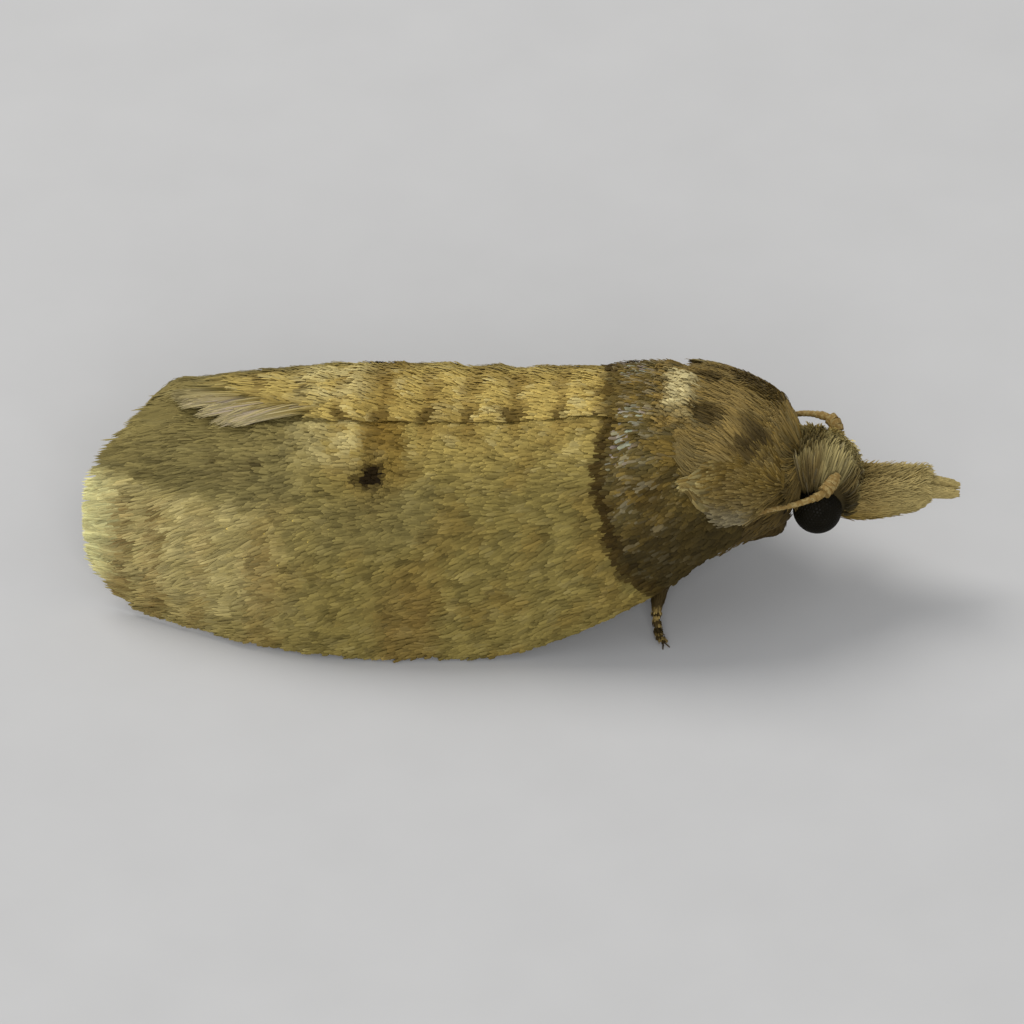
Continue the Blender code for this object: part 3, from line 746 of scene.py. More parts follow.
# %% Build the forewing's membrane
def forewing_membrane(label, side):
    surface = forewing_surface(side)
    along, share = np.meshgrid(np.linspace(0, 1, 90), np.linspace(0, 1, 61), indexing="ij")
    veins = sum(np.exp(-(((share - vein) / 0.008) ** 2)) for vein in MAIN_VEINS)
    lift = 0.014 * veins * smooth(along, 0.1, 0.3)
    thin = 1 - smooth(np.maximum(np.abs(share - 0.5) * 2, along), 0.97, 1)
    outer = surface(along, share, lift)
    inner = surface(along, share, -MEMBRANE_THICK * (0.3 + 0.7 * thin) - lift)
    x, turn = wing_place(side, along, share)
    place = triples(x, turn, float(side > 0))
    return plate_object(f"forewing_membrane_{label}", outer, inner, place, wing_finish)


# %% Lay the forewing's scales
SIDES = (("left", 1), ("right", -1))
SCALE_STATIONS = (0.0, 0.35, 0.88, 1.0)
SCALE_FORM = ((0.9, 1.0), (0.75, 0.8))
HAIR_FORM = ((1.0, 1.0), (0.7, 0.8))
HAIR_STATIONS = (0.0, 0.3, 0.65, 0.92, 1.0)
LONG_FORM = ((0.8, 0.9), (1.0, 1.0), (0.55, 0.7))
LIE_DOWN = profile((-20, 0), (0, 1), (20, 6), (45, 15), (70, 20), (84, 10), (90, 2))


def wing_unwrap(x, turn):
    return np.stack(((x + 6.3) / 9.6, (turn + 20) / 115), -1)


def chances(rng, count):
    return rng.random((count, 2))


def down_of(surface, u, v):
    """The direction across a wing, from its inner edge towards its costa."""
    return unit(slopes(surface, u, v)[1])


def turned(surface, u, v, angle):
    """Directions on a wing: straight back, or turned down towards the costa by an angle."""
    back_way = np.cos(angle)[:, None] * np.array((-1.0, 0, 0))
    return back_way + np.sin(angle)[:, None] * down_of(surface, u, v)


def seen_place(spines, side):
    """The place of a scale's visible end, from which it takes its colour."""
    place = body_place(spines[:, -2])
    return triples(place[:, 0], place[:, 1] * side, float(side > 0))


# %% Lay one layer of scales
def wing_scales(name, side, k, kind):
    """One layer of a wing's scales: broad ones below, or narrow ones on top of them."""
    coat = COATS[kind]
    seed = coat.seed + k
    rng = np.random.default_rng(seed)
    surface = forewing_surface(side)
    along, share = spread(surface, (0.0, 1.0), (0.0, 1.0), coat.density, start=0.1 * seed)
    x, turn = wing_place(side, along, share)
    count = len(x)
    tail = smooth(x, -3.0, -4.2)
    broad = np.maximum((1 - smooth(turn, 16, 36)) * (1 - tail), smooth(x, 1.15, 1.45))
    length = (0.23 - 0.06 * broad + 0.12 * tail) * rng.uniform(*coat.length, count)
    width = (0.05 + 0.004 * broad - 0.014 * tail) * rng.uniform(*coat.width, count)
    tip = rng.uniform(*coat.tip, count)
    if kind == "wing above":
        tip = tip * (0.5 + 1.3 * uneven(x * 5, turn / 3.5, 6))
    else:
        width = width * 1.4
    if side > 0:
        length = length * (1 + 0.8 * smooth(x, -2.4, -3.2) * (1 - smooth(turn, 8, 22)))
    near_spot = np.hypot((x - 0.15 - SPOT[0]) / 0.35, (turn - SPOT[1]) / 8)
    length = length * (0.5 + 0.5 * smooth(near_spot, 0.8, 1.3))
    length = np.minimum(length, 0.12 + 2.2 * (1 - share) + 0.2 * smooth(share, 0.98, 0.9))
    wave = 26 * (uneven(x * 3, turn / 7, 7) - 0.5) * (1 - 0.6 * tail) + rng.normal(0, 6, count)
    angle = np.radians(LIE_DOWN(turn) + 8 * smooth(x, 0.5, 2.5) * smooth(turn, 30, 60) + wave)
    spines = lay(
        surface, along, share, turned(surface, along, share, angle), length,
        (-0.012, tip * 0.55, tip, tip * 0.9), SCALE_STATIONS,
    )
    return tuft_object(
        name, spines, normals_of(surface, along, share), width, 0.006, SCALE_FORM,
        seen_place(spines, side), wing_unwrap(x, turn), chances(rng, count), wing_finish,
    )


for k, (label, side) in enumerate(SIDES):
    pieces = [
        forewing_membrane(label, side),
        wing_scales(f"forewing_under_scales_{label}", side, k, "wing below"),
        wing_scales(f"forewing_scales_{label}", side, k, "wing above"),
    ]
    wear(pieces, "forewing_scales", f"forewing_{label}")

# %% [markdown]
# ## Fringe of the forewings
#
# Long narrow scales stand along the hind edge in two layers and close the roof at the
# tail. At the end of the left wing's inner edge they are longer still, and lie in pale
# ragged locks across the right wing. They start on the membrane, under the last scales.

# %% Lay the hind fringe
FRINGE_LENGTH = 0.62
FRINGE_COUNT = 3200
FRINGE_LIMIT = -5.97
FRINGE_STATIONS = (0.0, 0.4, 0.85, 1.0)
LEFT_FAN = profile((0, -10), (0.2, 2), (0.5, 14), (1, -4))
RIGHT_FAN = profile((0, 18), (0.25, 20), (0.45, 15), (1, -4))


def hind_fringe(name, side, count, seed):
    rng = np.random.default_rng(seed)
    surface = forewing_surface(side)
    share = np.sort(rng.uniform(0.0, 0.97, count))
    along = 1 - rng.uniform(0.0, 0.035, count)
    x, turn = wing_place(side, along, share)
    length = FRINGE_LENGTH * rng.uniform(0.72, 1.0, count) * (1 - 0.3 * smooth(share, 0.85, 1))
    length = np.minimum(length, x - FRINGE_LIMIT)
    teeth = 5 * np.sin(share * 95)
    fan = (LEFT_FAN if side > 0 else RIGHT_FAN)(share)
    angle = np.radians(fan + teeth + rng.normal(0, 4, count))
    start, lift = rng.uniform(-0.03, 0.0, count), rng.uniform(0.0, 0.035, count)
    spines = lay(
        surface, along, share, turned(surface, along, share, angle), length,
        (start, lift * 0.6, lift, lift), FRINGE_STATIONS,
    )
    return tuft_object(
        name, spines, normals_of(surface, along, share), 0.034, 0.008,
        HAIR_FORM, seen_place(spines, side), wing_unwrap(x, turn), chances(rng, count), wing_finish,
    )


# %% Lay the long pale locks at the end of the left wing's inner edge
LOCK_COUNT = 900
LOCK_ROOTS = (
    (-2.86, -5.6), (-3.02, -5.2), (-3.2, -4.6), (-3.38, -2.6), (-3.5, -1.0), (-3.66, -1.2), (-3.8, 0.6),
    (-3.9, 2.4), (-4.0, 4.6),
)
LOCK_TIPS = (
    (-3.9, -14.9), (-4.04, -14.7), (-4.14, -13.8), (-4.36, -10.9), (-4.24, -7.6), (-4.6, -6.6), (-4.56, -4.6),
    (-4.7, -2.2), (-4.74, 0.8),
)


def lock_colours(nodes):
    mix, step = nodes.mix, nodes.step
    tone, along, luck = nodes.attribute("Tuft")
    _, _, depth = nodes.attribute("Place")
    root = mix(step(luck, 0.5, 0.7), GOLD, OLIVE)
    lilac = step(luck, 0.55, 0.75) * (1 - step(along, 0.6, 0.9)) * (1 - depth)
    pale = mix(lilac * 0.6, CREAM, ICE_PINK)
    pale = mix(depth * 0.45, pale, OLIVE)
    colour = mix(step(along + (tone - 0.5) * 0.3, 0.1, 0.6), root, pale)
    return nodes.tint(colour, 0.46 + tone * 0.62 + along * 0.16), None


lock_finish = finish_of("long fringe scales", lock_colours, roughness=0.5)


def inner_locks(count, seed):
    rng = np.random.default_rng(seed)
    lock = rng.integers(0, len(LOCK_ROOTS), count)
    root_x, root_turn = np.array(LOCK_ROOTS)[lock].T
    tip_x, tip_turn = np.array(LOCK_TIPS)[lock].T
    across = rng.normal(0, 1, count)
    root_x = root_x + 0.13 * rng.normal(0, 1, count)
    root_turn = np.maximum(root_turn + 1.3 * across, OVER_RIDGE(root_x) + 0.8)
    short = rng.uniform(0, 1, count) ** 1.6
    tip_x = tip_x + 0.3 * short + 0.03 * rng.normal(0, 1, count)
    tip_turn = tip_turn + 0.7 * across + 1.6 * short
    rise = rng.uniform(0.0, 0.07, count)
    spine = []
    for t, height in zip(HAIR_STATIONS, (-0.06, -0.03, -0.01, 0.0, 0.0)):
        x = root_x + (tip_x - root_x) * t
        spine.append(roof(x, root_turn + (tip_turn - root_turn) * t ** 1.5, height + rise * (0.3 + 0.7 * t)))
    spines = np.stack(spine, 1)
    place = triples(root_x, root_turn, smooth(lock, 4, 8))
    return tuft_object(
        "inner_edge_locks", spines, normals_of(roof, root_x, root_turn), rng.uniform(0.018, 0.03, count),
        0.01, LONG_FORM, place, wing_unwrap(root_x, root_turn), chances(rng, count), lock_finish,
    )


for k, (label, side) in enumerate(SIDES):
    fringe = hind_fringe(f"forewing_fringe_{label}", side, FRINGE_COUNT, 11 + k)
    wear([fringe], "forewing_scales", f"forewing_{label}")
wear([inner_locks(LOCK_COUNT, 15)], "forewing_scales", "forewing_left")

# %% [markdown]
# ## One skin for the body
#
# Under the scales the head, the thorax, the abdomen, the palps and the legs are one
# closed skin. Each part is first a simple loft through rings. A voxel remesh then melts
# them into one surface, which leaves no seam at the neck, the waist or the hips. The
# remesh works in steps too coarse for a body of millimetres, so the lofts are made a
# thousand times too large, and the result is brought to size.

# %% Sizes of the body
THORAX_EDGE = profile((1.5, 3), (1.75, 8.5), (2.0, 19), (2.2, 29), (2.45, 36), (2.8, 35), (3.75, 36))
CORE_HALF = profile((1.5, 0.6), (2.2, 0.82), (3.0, 0.86), (3.6, 0.6), (3.75, 0.5))
CORE_MIDDLE = profile((1.5, 1.25), (2.4, 1.3), (3.75, 1.5))
CORE_TALL = profile((1.5, 0.5), (2.4, 0.58), (3.0, 0.55), (3.75, 0.4))
THORAX_DEPTH = 0.16
SADDLE_DEPTH = 0.05
HEAD_CENTRE = np.array((4.2, 0.0, 1.56))
HEAD_HALF = np.array((0.37, 0.58, 0.44))
EYE_CENTRE = np.array((4.06, 0.54, 1.47))
EYE_RADIUS = 0.335
PALP_MIDDLE = profile((4.3, 1.3), (4.75, 1.36), (5.35, 1.43), (5.56, 1.51), (5.93, 1.48))
PALP_TALL = profile(
    (4.3, 0.18), (4.75, 0.21), (5.1, 0.19), (5.35, 0.17), (5.5, 0.15), (5.56, 0.08), (5.85, 0.062),
    (5.93, 0.03),
)
PALP_WIDE = profile((4.3, 0.14), (4.85, 0.13), (5.35, 0.11), (5.56, 0.08), (5.85, 0.06), (5.93, 0.03))
PALP_APART = profile((4.3, 0.2), (4.75, 0.19), (5.3, 0.13), (5.93, 0.09))
ABDOMEN_FRONT = 1.75
ABDOMEN_END = -3.3
ABDOMEN_MIDDLE = 0.78
ABDOMEN_RINGS = 8
ABDOMEN_WIDE = 1.16
NECK_MIDDLE = 1.58
NECK_HALF = (0.36, 0.34)
FOOT_WAVES = 18
FLOOR_FOOT = 0.05
LEG_PATHS = {
    "foreleg": (
        (3.36, 0.26, 1.18), (3.48, 0.28, 1.05), (3.46, 0.3, 0.94), (3.26, 0.3, 0.85), (3.02, 0.3, 0.77),
        (2.84, 0.3, 0.68), (2.74, 0.3, 0.6),
    ),
    "midleg": (
        (2.4, 0.3, 0.9), (2.32, 0.45, 0.58), (2.15, 0.8, 0.52), (2.0, 1.12, 0.5), (1.95, 1.38, 0.36),
        (1.96, 1.56, 0.18), (2.0, 1.68, 0.09), (2.07, 1.81, FLOOR_FOOT),
    ),
    "hindleg": (
        (1.85, 0.32, 0.9), (1.7, 0.6, 0.45), (1.2, 1.05, 0.42), (0.2, 1.38, 0.26), (-0.6, 1.46, 0.1),
        (-1.44, 1.44, FLOOR_FOOT),
    ),
}
LEG_RADIUS = profile(
    (0, 0.15), (0.2, 0.12), (0.42, 0.07), (0.5, 0.08), (0.68, 0.07), (0.74, 0.045), (1, 0.036),
)


# %% Surfaces of the body's parts
def core(x, angle, out):
    """The thorax under the wings, by degrees round from its top."""
    a = np.radians(angle)
    y, z = (CORE_HALF(x) + out) * np.sin(a), CORE_MIDDLE(x) + (CORE_TALL(x) + out) * np.cos(a)
    return triples(x, y, z)


def head(lateral, pitch, out):
    """The head, by degrees out from the middle plane and forwards from the top."""
    b, a = np.radians(lateral), np.radians(pitch)
    long, wide, tall = HEAD_HALF[:, None] + out
    x, y, z = long * np.cos(b) * np.sin(a), wide * np.sin(b), tall * np.cos(b) * np.cos(a)
    return triples(x, y, z) + HEAD_CENTRE


def palp(side):
    """A palp, by x and degrees up from its outer side."""
    def surface(x, angle, out):
        a = np.radians(angle)
        y = side * (PALP_APART(x) + (PALP_WIDE(x) + out) * np.cos(a))
        return triples(x, y, PALP_MIDDLE(x) + (PALP_TALL(x) + out) * np.sin(a))
    return surface


# %% Surfaces of the abdomen and of limbs
def abdomen_half(x):
    taper = np.sqrt(np.maximum(0.06, 1 - np.maximum(0, (-0.6 - x) / 2.85) ** 2.4))
    ring = (ABDOMEN_FRONT - x) / (ABDOMEN_FRONT - ABDOMEN_END) * ABDOMEN_RINGS
    return 0.5 * taper * (1 + 0.05 * (ring % 1)) * (0.8 + 0.2 * smooth(x, 1.6, 0.9))


def abdomen(back, angle, out):
    """The abdomen, by its length from the front and degrees round from its top."""
    x, a = ABDOMEN_FRONT - back, np.radians(angle)
    half = abdomen_half(x) + out
    return triples(x, ABDOMEN_WIDE * half * np.sin(a), ABDOMEN_MIDDLE + half * np.cos(a))


def smooth_path(points, steps=8):
    points = np.array(points, float)
    ends = np.concatenate((2 * points[:1] - points[1:2], points, 2 * points[-1:] - points[-2:-1]))
    t = (np.arange(steps) / steps)[:, None]
    path = []
    for a, b, c, d in zip(ends, ends[1:], ends[2:], ends[3:]):
        bend = (2 * a - 5 * b + 4 * c - d) * t * t + (3 * b - a - 3 * c + d) * t ** 3
        path.append((2 * b + (c - a) * t + bend) / 2)
    return np.concatenate((*path, points[-1:]))


def limb(path, radius):
    """A limb along a path, by the share of its length and degrees round it."""
    way = np.concatenate(([0], np.cumsum(np.linalg.norm(np.diff(path, axis=0), axis=1))))
    way = way / way[-1]
    along = unit(np.gradient(path, axis=0))
    across = [np.array((0.0, 0.3, 1.0))]
    for step in along:
        across.append(unit(across[-1] - step * np.dot(across[-1], step)))
    across = np.array(across[1:])
    up = np.cross(along, across)

    def surface(share, angle, out):
        share, angle, out = np.broadcast_arrays(*(np.asarray(v, float) for v in (share, angle, out)))
        a = np.radians(angle)[..., None]

        def read(rows):
            return np.stack([np.interp(share, way, rows[:, k]) for k in range(3)], -1)

        outward = read(across) * np.cos(a) + read(up) * np.sin(a)
        return read(path) + outward * (radius(share) + out)[..., None]

    return surface


def leg_path(kind, side):
    return smooth_path([(x, side * y, z) for x, y, z in LEG_PATHS[kind]])


# %% Melt the lofts into one skin
VOXEL = 0.028


def loft_arrays(surface, first, angles=36):
    """Rings of a surface at each value of its first number, with both ends closed. It asks every
    surface for two numbers and a height, and not every surface has a use for the height."""
    u, v = np.meshgrid(first, np.arange(angles) * 360 / angles, indexing="ij")
    points = surface(u.ravel(), v.ravel(), 0.0)
    faces = []
    for i in range(len(first) - 1):
        for j in range(angles):
            a, b = i * angles + j, i * angles + (j + 1) % angles
            faces.append((a, b, b + angles, a + angles))
    faces.append(tuple(range(angles))[::-1])
    faces.append(tuple(range(len(points) - angles, len(points))))
    return points, faces


# %% Rings for the skin
SHOULDER_X = (3.4, 3.92)
SHOULDER_MIDDLE = np.array((0.0, 0.0, 1.72))


def round_shoulder(points):
    """Closes the front of the thorax with a dome instead of a flat end."""
    share = np.clip((points[..., 0] - SHOULDER_X[0]) / (SHOULDER_X[1] - SHOULDER_X[0]), 0, 0.995)
    close = np.sqrt(1 - share * share)[..., None]
    middle = points * (1, 0, 0) + SHOULDER_MIDDLE
    return middle + (points - middle) * close


BACK_ANGLE = 60


def thorax_round(x, angle, out):
    """The thorax: its back is the roof, and the rest of it the core."""
    edge = THORAX_EDGE(x)
    turn = np.where(angle > 180, angle - 360, angle)
    share = np.clip(np.abs(turn) / BACK_ANGLE, 0, 1)
    top = roof(x, np.sign(turn) * edge * share, -THORAX_DEPTH)
    low = core(x, turn, 0.0)
    mask = smooth(np.abs(turn), 55, 75)[..., None]
    return round_shoulder(top * (1 - mask) + low * mask)


def head_round(lateral, angle, out):
    return head(lateral, angle, 0.0)


def neck(x, angle, out):
    a = np.radians(angle)
    return triples(x, NECK_HALF[0] * np.sin(a), NECK_MIDDLE + NECK_HALF[1] * np.cos(a))


def leg_radius(share):
    """A leg's radius, with a waist between the five joints of its foot."""
    foot = smooth(share, 0.72, 0.76)
    return LEG_RADIUS(share) * (1 + 0.16 * foot * np.cos(share * 2 * np.pi * FOOT_WAVES))


# %% Build the skin's mesh
def body_skin():
    pieces = [
        loft_arrays(thorax_round, np.linspace(1.5, 3.91, 40)),
        loft_arrays(neck, np.linspace(3.3, 4.2, 6)),
        loft_arrays(head_round, np.linspace(-86, 86, 24)),
        loft_arrays(abdomen, np.linspace(0, ABDOMEN_FRONT - ABDOMEN_END, 90)),
    ]
    for _, side in SIDES:
        pieces.append(loft_arrays(palp(side), np.linspace(4.3, 5.93, 30)))
        for kind in LEG_PATHS:
            pieces.append(loft_arrays(limb(leg_path(kind, side), leg_radius), np.linspace(0, 1, 110), 16))
    points, faces, start = [], [], 0
    for some, loops in pieces:
        points.append(some)
        faces += [tuple(start + k for k in loop) for loop in loops]
        start += len(some)
    mesh = bpy.data.meshes.new("lofts")
    mesh.from_pydata(np.concatenate(points).tolist(), [], faces)
    work = bmesh.new()
    work.from_mesh(mesh)
    bmesh.ops.recalc_face_normals(work, faces=work.faces)
    work.to_mesh(mesh)
    work.free()
    lofts = add_object("lofts", mesh)
    melt = lofts.modifiers.new("melt", "REMESH")
    melt.mode = "VOXEL"
    melt.voxel_size = VOXEL
    soften = lofts.modifiers.new("soften", "SMOOTH")
    soften.factor = 0.5
    soften.iterations = 3
    skin = bpy.data.meshes.new_from_object(lofts.evaluated_get(bpy.context.evaluated_depsgraph_get()))
    bpy.data.objects.remove(lofts)
    points = np.zeros(len(skin.vertices) * 3, np.float32)
    skin.vertices.foreach_get("co", points)
    points = points.reshape(-1, 3)
    points[:, 2] = np.maximum(points[:, 2], FLOOR_CLEARANCE)
    skin.vertices.foreach_set("co", (points * MM).ravel())
    skin.update()
    return skin, points


# %% [markdown]
# ## Colours of the body
#
# The back is ochre with two pairs of dark brown patches and ends in a cream crest. The
# head and the palps are tawny, darker at the roots of the hairs and paler at the tips; on
# the head the dark roots are partly painted shade.
# The legs are dark brown with straw-coloured rings, and the abdomen is grey-ochre.

# %% Colours of the hairs
TAWNY = (0.27, 0.19, 0.064)
DRAB = (0.150, 0.112, 0.042)
BARK = (0.042, 0.028, 0.009)
BACK_PATCHES = ((3.14, 25.0, 0.28, 12.5, 0.88), (2.52, 13.0, 0.2, 6.0, 0.8))


# %% Colours of the back
def hair_tint(nodes, colour, low=0.5):
    """Chance and the way from root to tip make each hair a little different."""
    tone, along, _ = nodes.attribute("Tuft")
    return nodes.tint(colour, low + tone * 0.45 + along * 0.4)


def thorax_colours(nodes):
    mix, step, band = nodes.mix, nodes.step, nodes.band
    x, turn, height = nodes.attribute("Place")
    _, along, luck = nodes.attribute("Tuft")
    side = nodes.maths("ABSOLUTE", turn)
    flow = nodes.vector(x * 0.6, turn / 22, height)
    wave = nodes.noise(flow, 2.6, 3.0) - 0.5
    streak = nodes.noise(nodes.vector(x * 0.4, turn / 6, height), 5.0)
    colour = mix(step(streak, 0.4, 0.62), DRAB, OCHRE)
    colour = mix(step(streak + (luck - 0.5) * 0.3, 0.42, 0.6) * 0.45, colour, TAWNY)
    colour = mix(band(x, 2.85, 0.12, 0.35) * 0.45, colour, TAWNY)
    colour = mix((1 - step(side, 3.0, 9.0)) * step(x, 2.2, 2.6) * 0.4, colour, TAWNY)
    for middle_x, middle_turn, half_x, half_turn, strength in BACK_PATCHES:
        away_x = (x - middle_x + wave * 0.5) / half_x
        away_turn = (side - middle_turn + wave * 12) / half_turn
        patch = nodes.spot(away_x, away_turn, 0.2, 2.0)
        far = step(turn, 0.0, 8.0) * (x - 2.4) * 0.4
        colour = mix(patch * (strength - far), colour, BARK)
    pale = band(x + wave * 0.4, 2.1, 0.09, 0.14) * (1 - step(side + wave * 14, 9.0, 17.0))
    colour = mix(pale * (0.6 + luck * 0.4), colour, IVORY)
    colour = mix(step(side, 16.0, 30.0) * (1 - step(x, 2.3, 2.6)) * 0.6, colour, DRAB)
    collar = step(x, 3.45, 3.6) * step(side, 40.0, 52.0)
    colour = mix(collar * 0.7, colour, BARK)
    # Low on the body the hair turns near black: partly its brown colour and partly painted shade under the
    # tegula and the wings.
    under = 1 - step(height, 1.35, 1.75)
    colour = mix(under * (0.95 - along * 0.25), colour, BARK)
    return hair_tint(nodes, colour, 0.65), None


# %% Colours of the head and the palps
def head_colours(nodes):
    mix, step = nodes.mix, nodes.step
    x, turn, height = nodes.attribute("Place")
    _, along, luck = nodes.attribute("Tuft")
    wave = nodes.noise(nodes.vector(x, turn / 20, height), 3.0, 3.0) - 0.5
    colour = mix(step(height + wave * 0.4, 1.5, 1.9), DRAB, TAWNY)
    colour = mix(step(along, 0.5, 1.0) * 0.7, colour, STRAW)
    # Hair high at the front of the head is paler and lighter: partly its straw colour and partly painted
    # light where it lies in shade.
    front = step(x, 4.05, 4.2) * step(height, 1.85, 2.1)
    colour = mix(front * 0.7, colour, STRAW)
    # The far side of the head is paler and lighter too: partly its colour and partly painted light where it
    # lies in shade.
    far = step(turn, 0.0, 15.0) * step(x, 3.6, 3.75)
    colour = mix(far * 0.7, colour, STRAW)
    colour = mix(step(luck, 0.8, 0.92) * 0.4, colour, ASH)
    # Darker at the roots, partly the hairs' colour and partly painted shade in the gaps between them; the
    # front and far hairs get painted light.
    colour = nodes.tint(colour, 0.45 + step(along, 0.2, 0.8) * 0.27 + front * 0.2 + far * 0.6)
    return hair_tint(nodes, colour, 0.3), None


def palp_colours(nodes):
    mix, step = nodes.mix, nodes.step
    x, turn, height = nodes.attribute("Place")
    _, along, _ = nodes.attribute("Tuft")
    wave = nodes.noise(nodes.vector(x, turn / 20, height), 4.0, 3.0) - 0.5
    colour = mix(step(height + wave * 0.3 - (x - 4.8) * 0.1, 1.2, 1.5), OCHRE, TAWNY)
    colour = mix(step(x + wave * 0.3, 4.7, 5.4) * 0.45, colour, STRAW)
    colour = mix(step(along, 0.4, 1.0) * 0.3, colour, STRAW)
    return hair_tint(nodes, colour, 0.46), None


# %% Colours of the abdomen and the legs
def abdomen_colours(nodes):
    x, turn, height = nodes.attribute("Place")
    wave = nodes.noise(nodes.vector(x, turn / 20, height), 3.0)
    return hair_tint(nodes, nodes.mix(wave, DRAB, ASH)), None


def leg_colours(nodes):
    share, _, _ = nodes.attribute("Place")
    ring = nodes.maths("SINE", share * (2 * math.pi * FOOT_WAVES))
    rings = nodes.step(ring, -0.1, 0.5) * nodes.step(share, 0.7, 0.74)
    knee = nodes.band(share, 0.72, 0.012, 0.02) + nodes.band(share, 0.45, 0.015, 0.02)
    colour = nodes.mix(rings * 0.75 + knee * 0.4, BARK, TAWNY)
    return hair_tint(nodes, colour, 0.8), None


# %% The body's finishes
def skin_colours(nodes):
    mix, step = nodes.mix, nodes.step
    x, _, height = nodes.attribute("Place")
    colour = mix(step(x, 1.4, 1.7), abdomen_colours(nodes)[0], thorax_colours(nodes)[0])
    colour = mix(step(x, 3.75, 3.85), colour, head_colours(nodes)[0])
    colour = mix(step(x, 4.55, 4.65), colour, palp_colours(nodes)[0])
    colour = mix(1 - step(height, 0.62, 0.78), colour, BARK)
    return nodes.tint(colour, 0.75), None


thorax_finish = finish_of("thorax hair", thorax_colours, roughness=0.55)
head_finish = finish_of("head hair", head_colours, roughness=0.55)
palp_finish = finish_of("palp scales", palp_colours, roughness=0.6)
abdomen_finish = finish_of("abdomen scales", abdomen_colours, roughness=0.65)
leg_finish = finish_of("leg scales", leg_colours, roughness=0.6)
skin_finish = finish_of("skin", skin_colours, roughness=0.7, relief=(0.02, 0.4))

# %% Build the skin
skin_mesh, skin_points = body_skin()
give(skin_mesh, "Place", body_place(skin_points))
give(skin_mesh, "Tuft", np.tile((0.4, 0.3, 0.5), (len(skin_points), 1)))
skin_mesh.materials.clear()
skin_mesh.materials.append(skin_finish)
skin_mesh.shade_smooth()
skin = add_object("body_skin", skin_mesh)
legs = [f"{kind}_{label}" for kind in LEG_PATHS for label, _ in SIDES]
wear([skin], "thorax_hair", "head", "thorax", "abdomen", "palp_left", "palp_right", *legs)
print("the skin has", len(skin_mesh.polygons), "faces")

# %% [markdown]
# ## Hair of the back
#
# The hairs of the back start at the collar and lie backwards in long overlapping layers.
# On the shoulders they slant up towards the middle. Behind them stands the crest, a dense
# cream brush of short blunt scales, which is the highest part of the animal.

# %% Surface of the back
def back_surface(x, share, out):
    """The back and shoulders, by x and the share of the way from the middle to the edge."""
    edge = THORAX_EDGE(x) + 9 + 12 * smooth(x, 3.4, 3.7)
    return round_shoulder(roof(x, share * edge, out - THORAX_DEPTH + 0.02))


# %% Unroll the body and lay a coat on it
def body_unwrap(points):
    """The body unrolled: the length from the tail along one side, the turn along the other."""
    angle = np.arctan2(points[:, 1], points[:, 2] - 1.2)
    return np.stack(((points[:, 0] + 4) / 10.2, 0.5 + angle / (2 * np.pi) * 0.98), -1)


def hair_coat(
    name, surface, u, v, toward, length, heights, width, thick, material, rng,
    stations=HAIR_STATIONS, form=LONG_FORM,
):
    """A coat of the body, rooted on a surface at u and v."""
    spines = lay(surface, u, v, toward, length, heights, stations)
    return tuft_object(
        name, spines, normals_of(surface, u, v), width, thick, form,
        body_place(spines[:, -2]), body_unwrap(surface(u, v, 0.0)), chances(rng, len(u)), material,
    )


# %% Lay the hair of the back
def back_hair():
    coat = COATS["back"]
    rng = np.random.default_rng(coat.seed)
    x, share = spread(back_surface, (2.1, 3.84), (-1.0, 1.0), coat.density)
    count = len(x)
    aside = np.abs(share)
    slant = 0.6 * np.sign(share) * smooth(aside, 0.1, 0.7) * smooth(x, 2.6, 3.2)
    slant = (slant + rng.normal(0, 0.07, count)) * (1 - smooth(x, 3.3, 3.5))
    toward = -unit(slopes(back_surface, x, share)[0]) - slant[:, None] * np.array((0.0, 1.0, 0.0))
    length = rng.uniform(*coat.length, count) * (0.7 + 0.3 * smooth(x, 2.2, 2.8))
    length = length * (1 - rng.uniform(0.0, 0.55, count) * smooth(x, 2.7, 2.4))
    tip = rng.uniform(*coat.tip, count) + 0.09 * (uneven(x * 6, share * 6, 8) - 0.5)
    rear = smooth(x, 2.9, 2.5)
    tip = tip * (1 - 0.45 * rear * smooth(aside, 0.45, 0.8)) * (1 - 0.3 * rear * smooth(aside, 0.2, 0.5))
    length = length * (1 - 0.3 * smooth(x, 3.45, 3.6) * smooth(aside, 0.5, 0.7))
    heights = (-0.02, tip * 0.45, tip * 0.8, tip, tip * 0.97)
    width = rng.uniform(*coat.width, count)
    return hair_coat(
        "thorax_hair", back_surface, x, share, toward, length, heights, width, 0.008, thorax_finish, rng,
    )


# %% Stand up the crest
def crest():
    coat = COATS["crest"]
    rng = np.random.default_rng(coat.seed)
    x, share = spread(back_surface, (2.02, 2.46), (-0.8, 0.8), coat.density)
    count = len(x)
    middle = 1 - smooth(np.abs(share * THORAX_EDGE(x)), 9, 20)
    toward = triples(-1.0, share * 0.7 + rng.normal(0, 0.3, count), 0.0)
    length = rng.uniform(*coat.length, count)
    tip = 0.09 + (rng.uniform(*coat.tip, count) + 0.12 * uneven(x * 9, share * 7, 9)) * middle
    heights = (-0.02, tip * 0.55, tip * 0.95, tip, tip * 0.9)
    width = rng.uniform(*coat.width, count)
    return hair_coat(
        "thorax_crest", back_surface, x, share, toward, length, heights, width, 0.009, thorax_finish, rng,
        form=((0.7, 0.9), (0.9, 1.0), (0.8, 0.8)),
    )


# %% Cover the place where the wings meet the back
def saddle_surface(x, turn, out):
    return roof(x, turn, out - SADDLE_DEPTH)


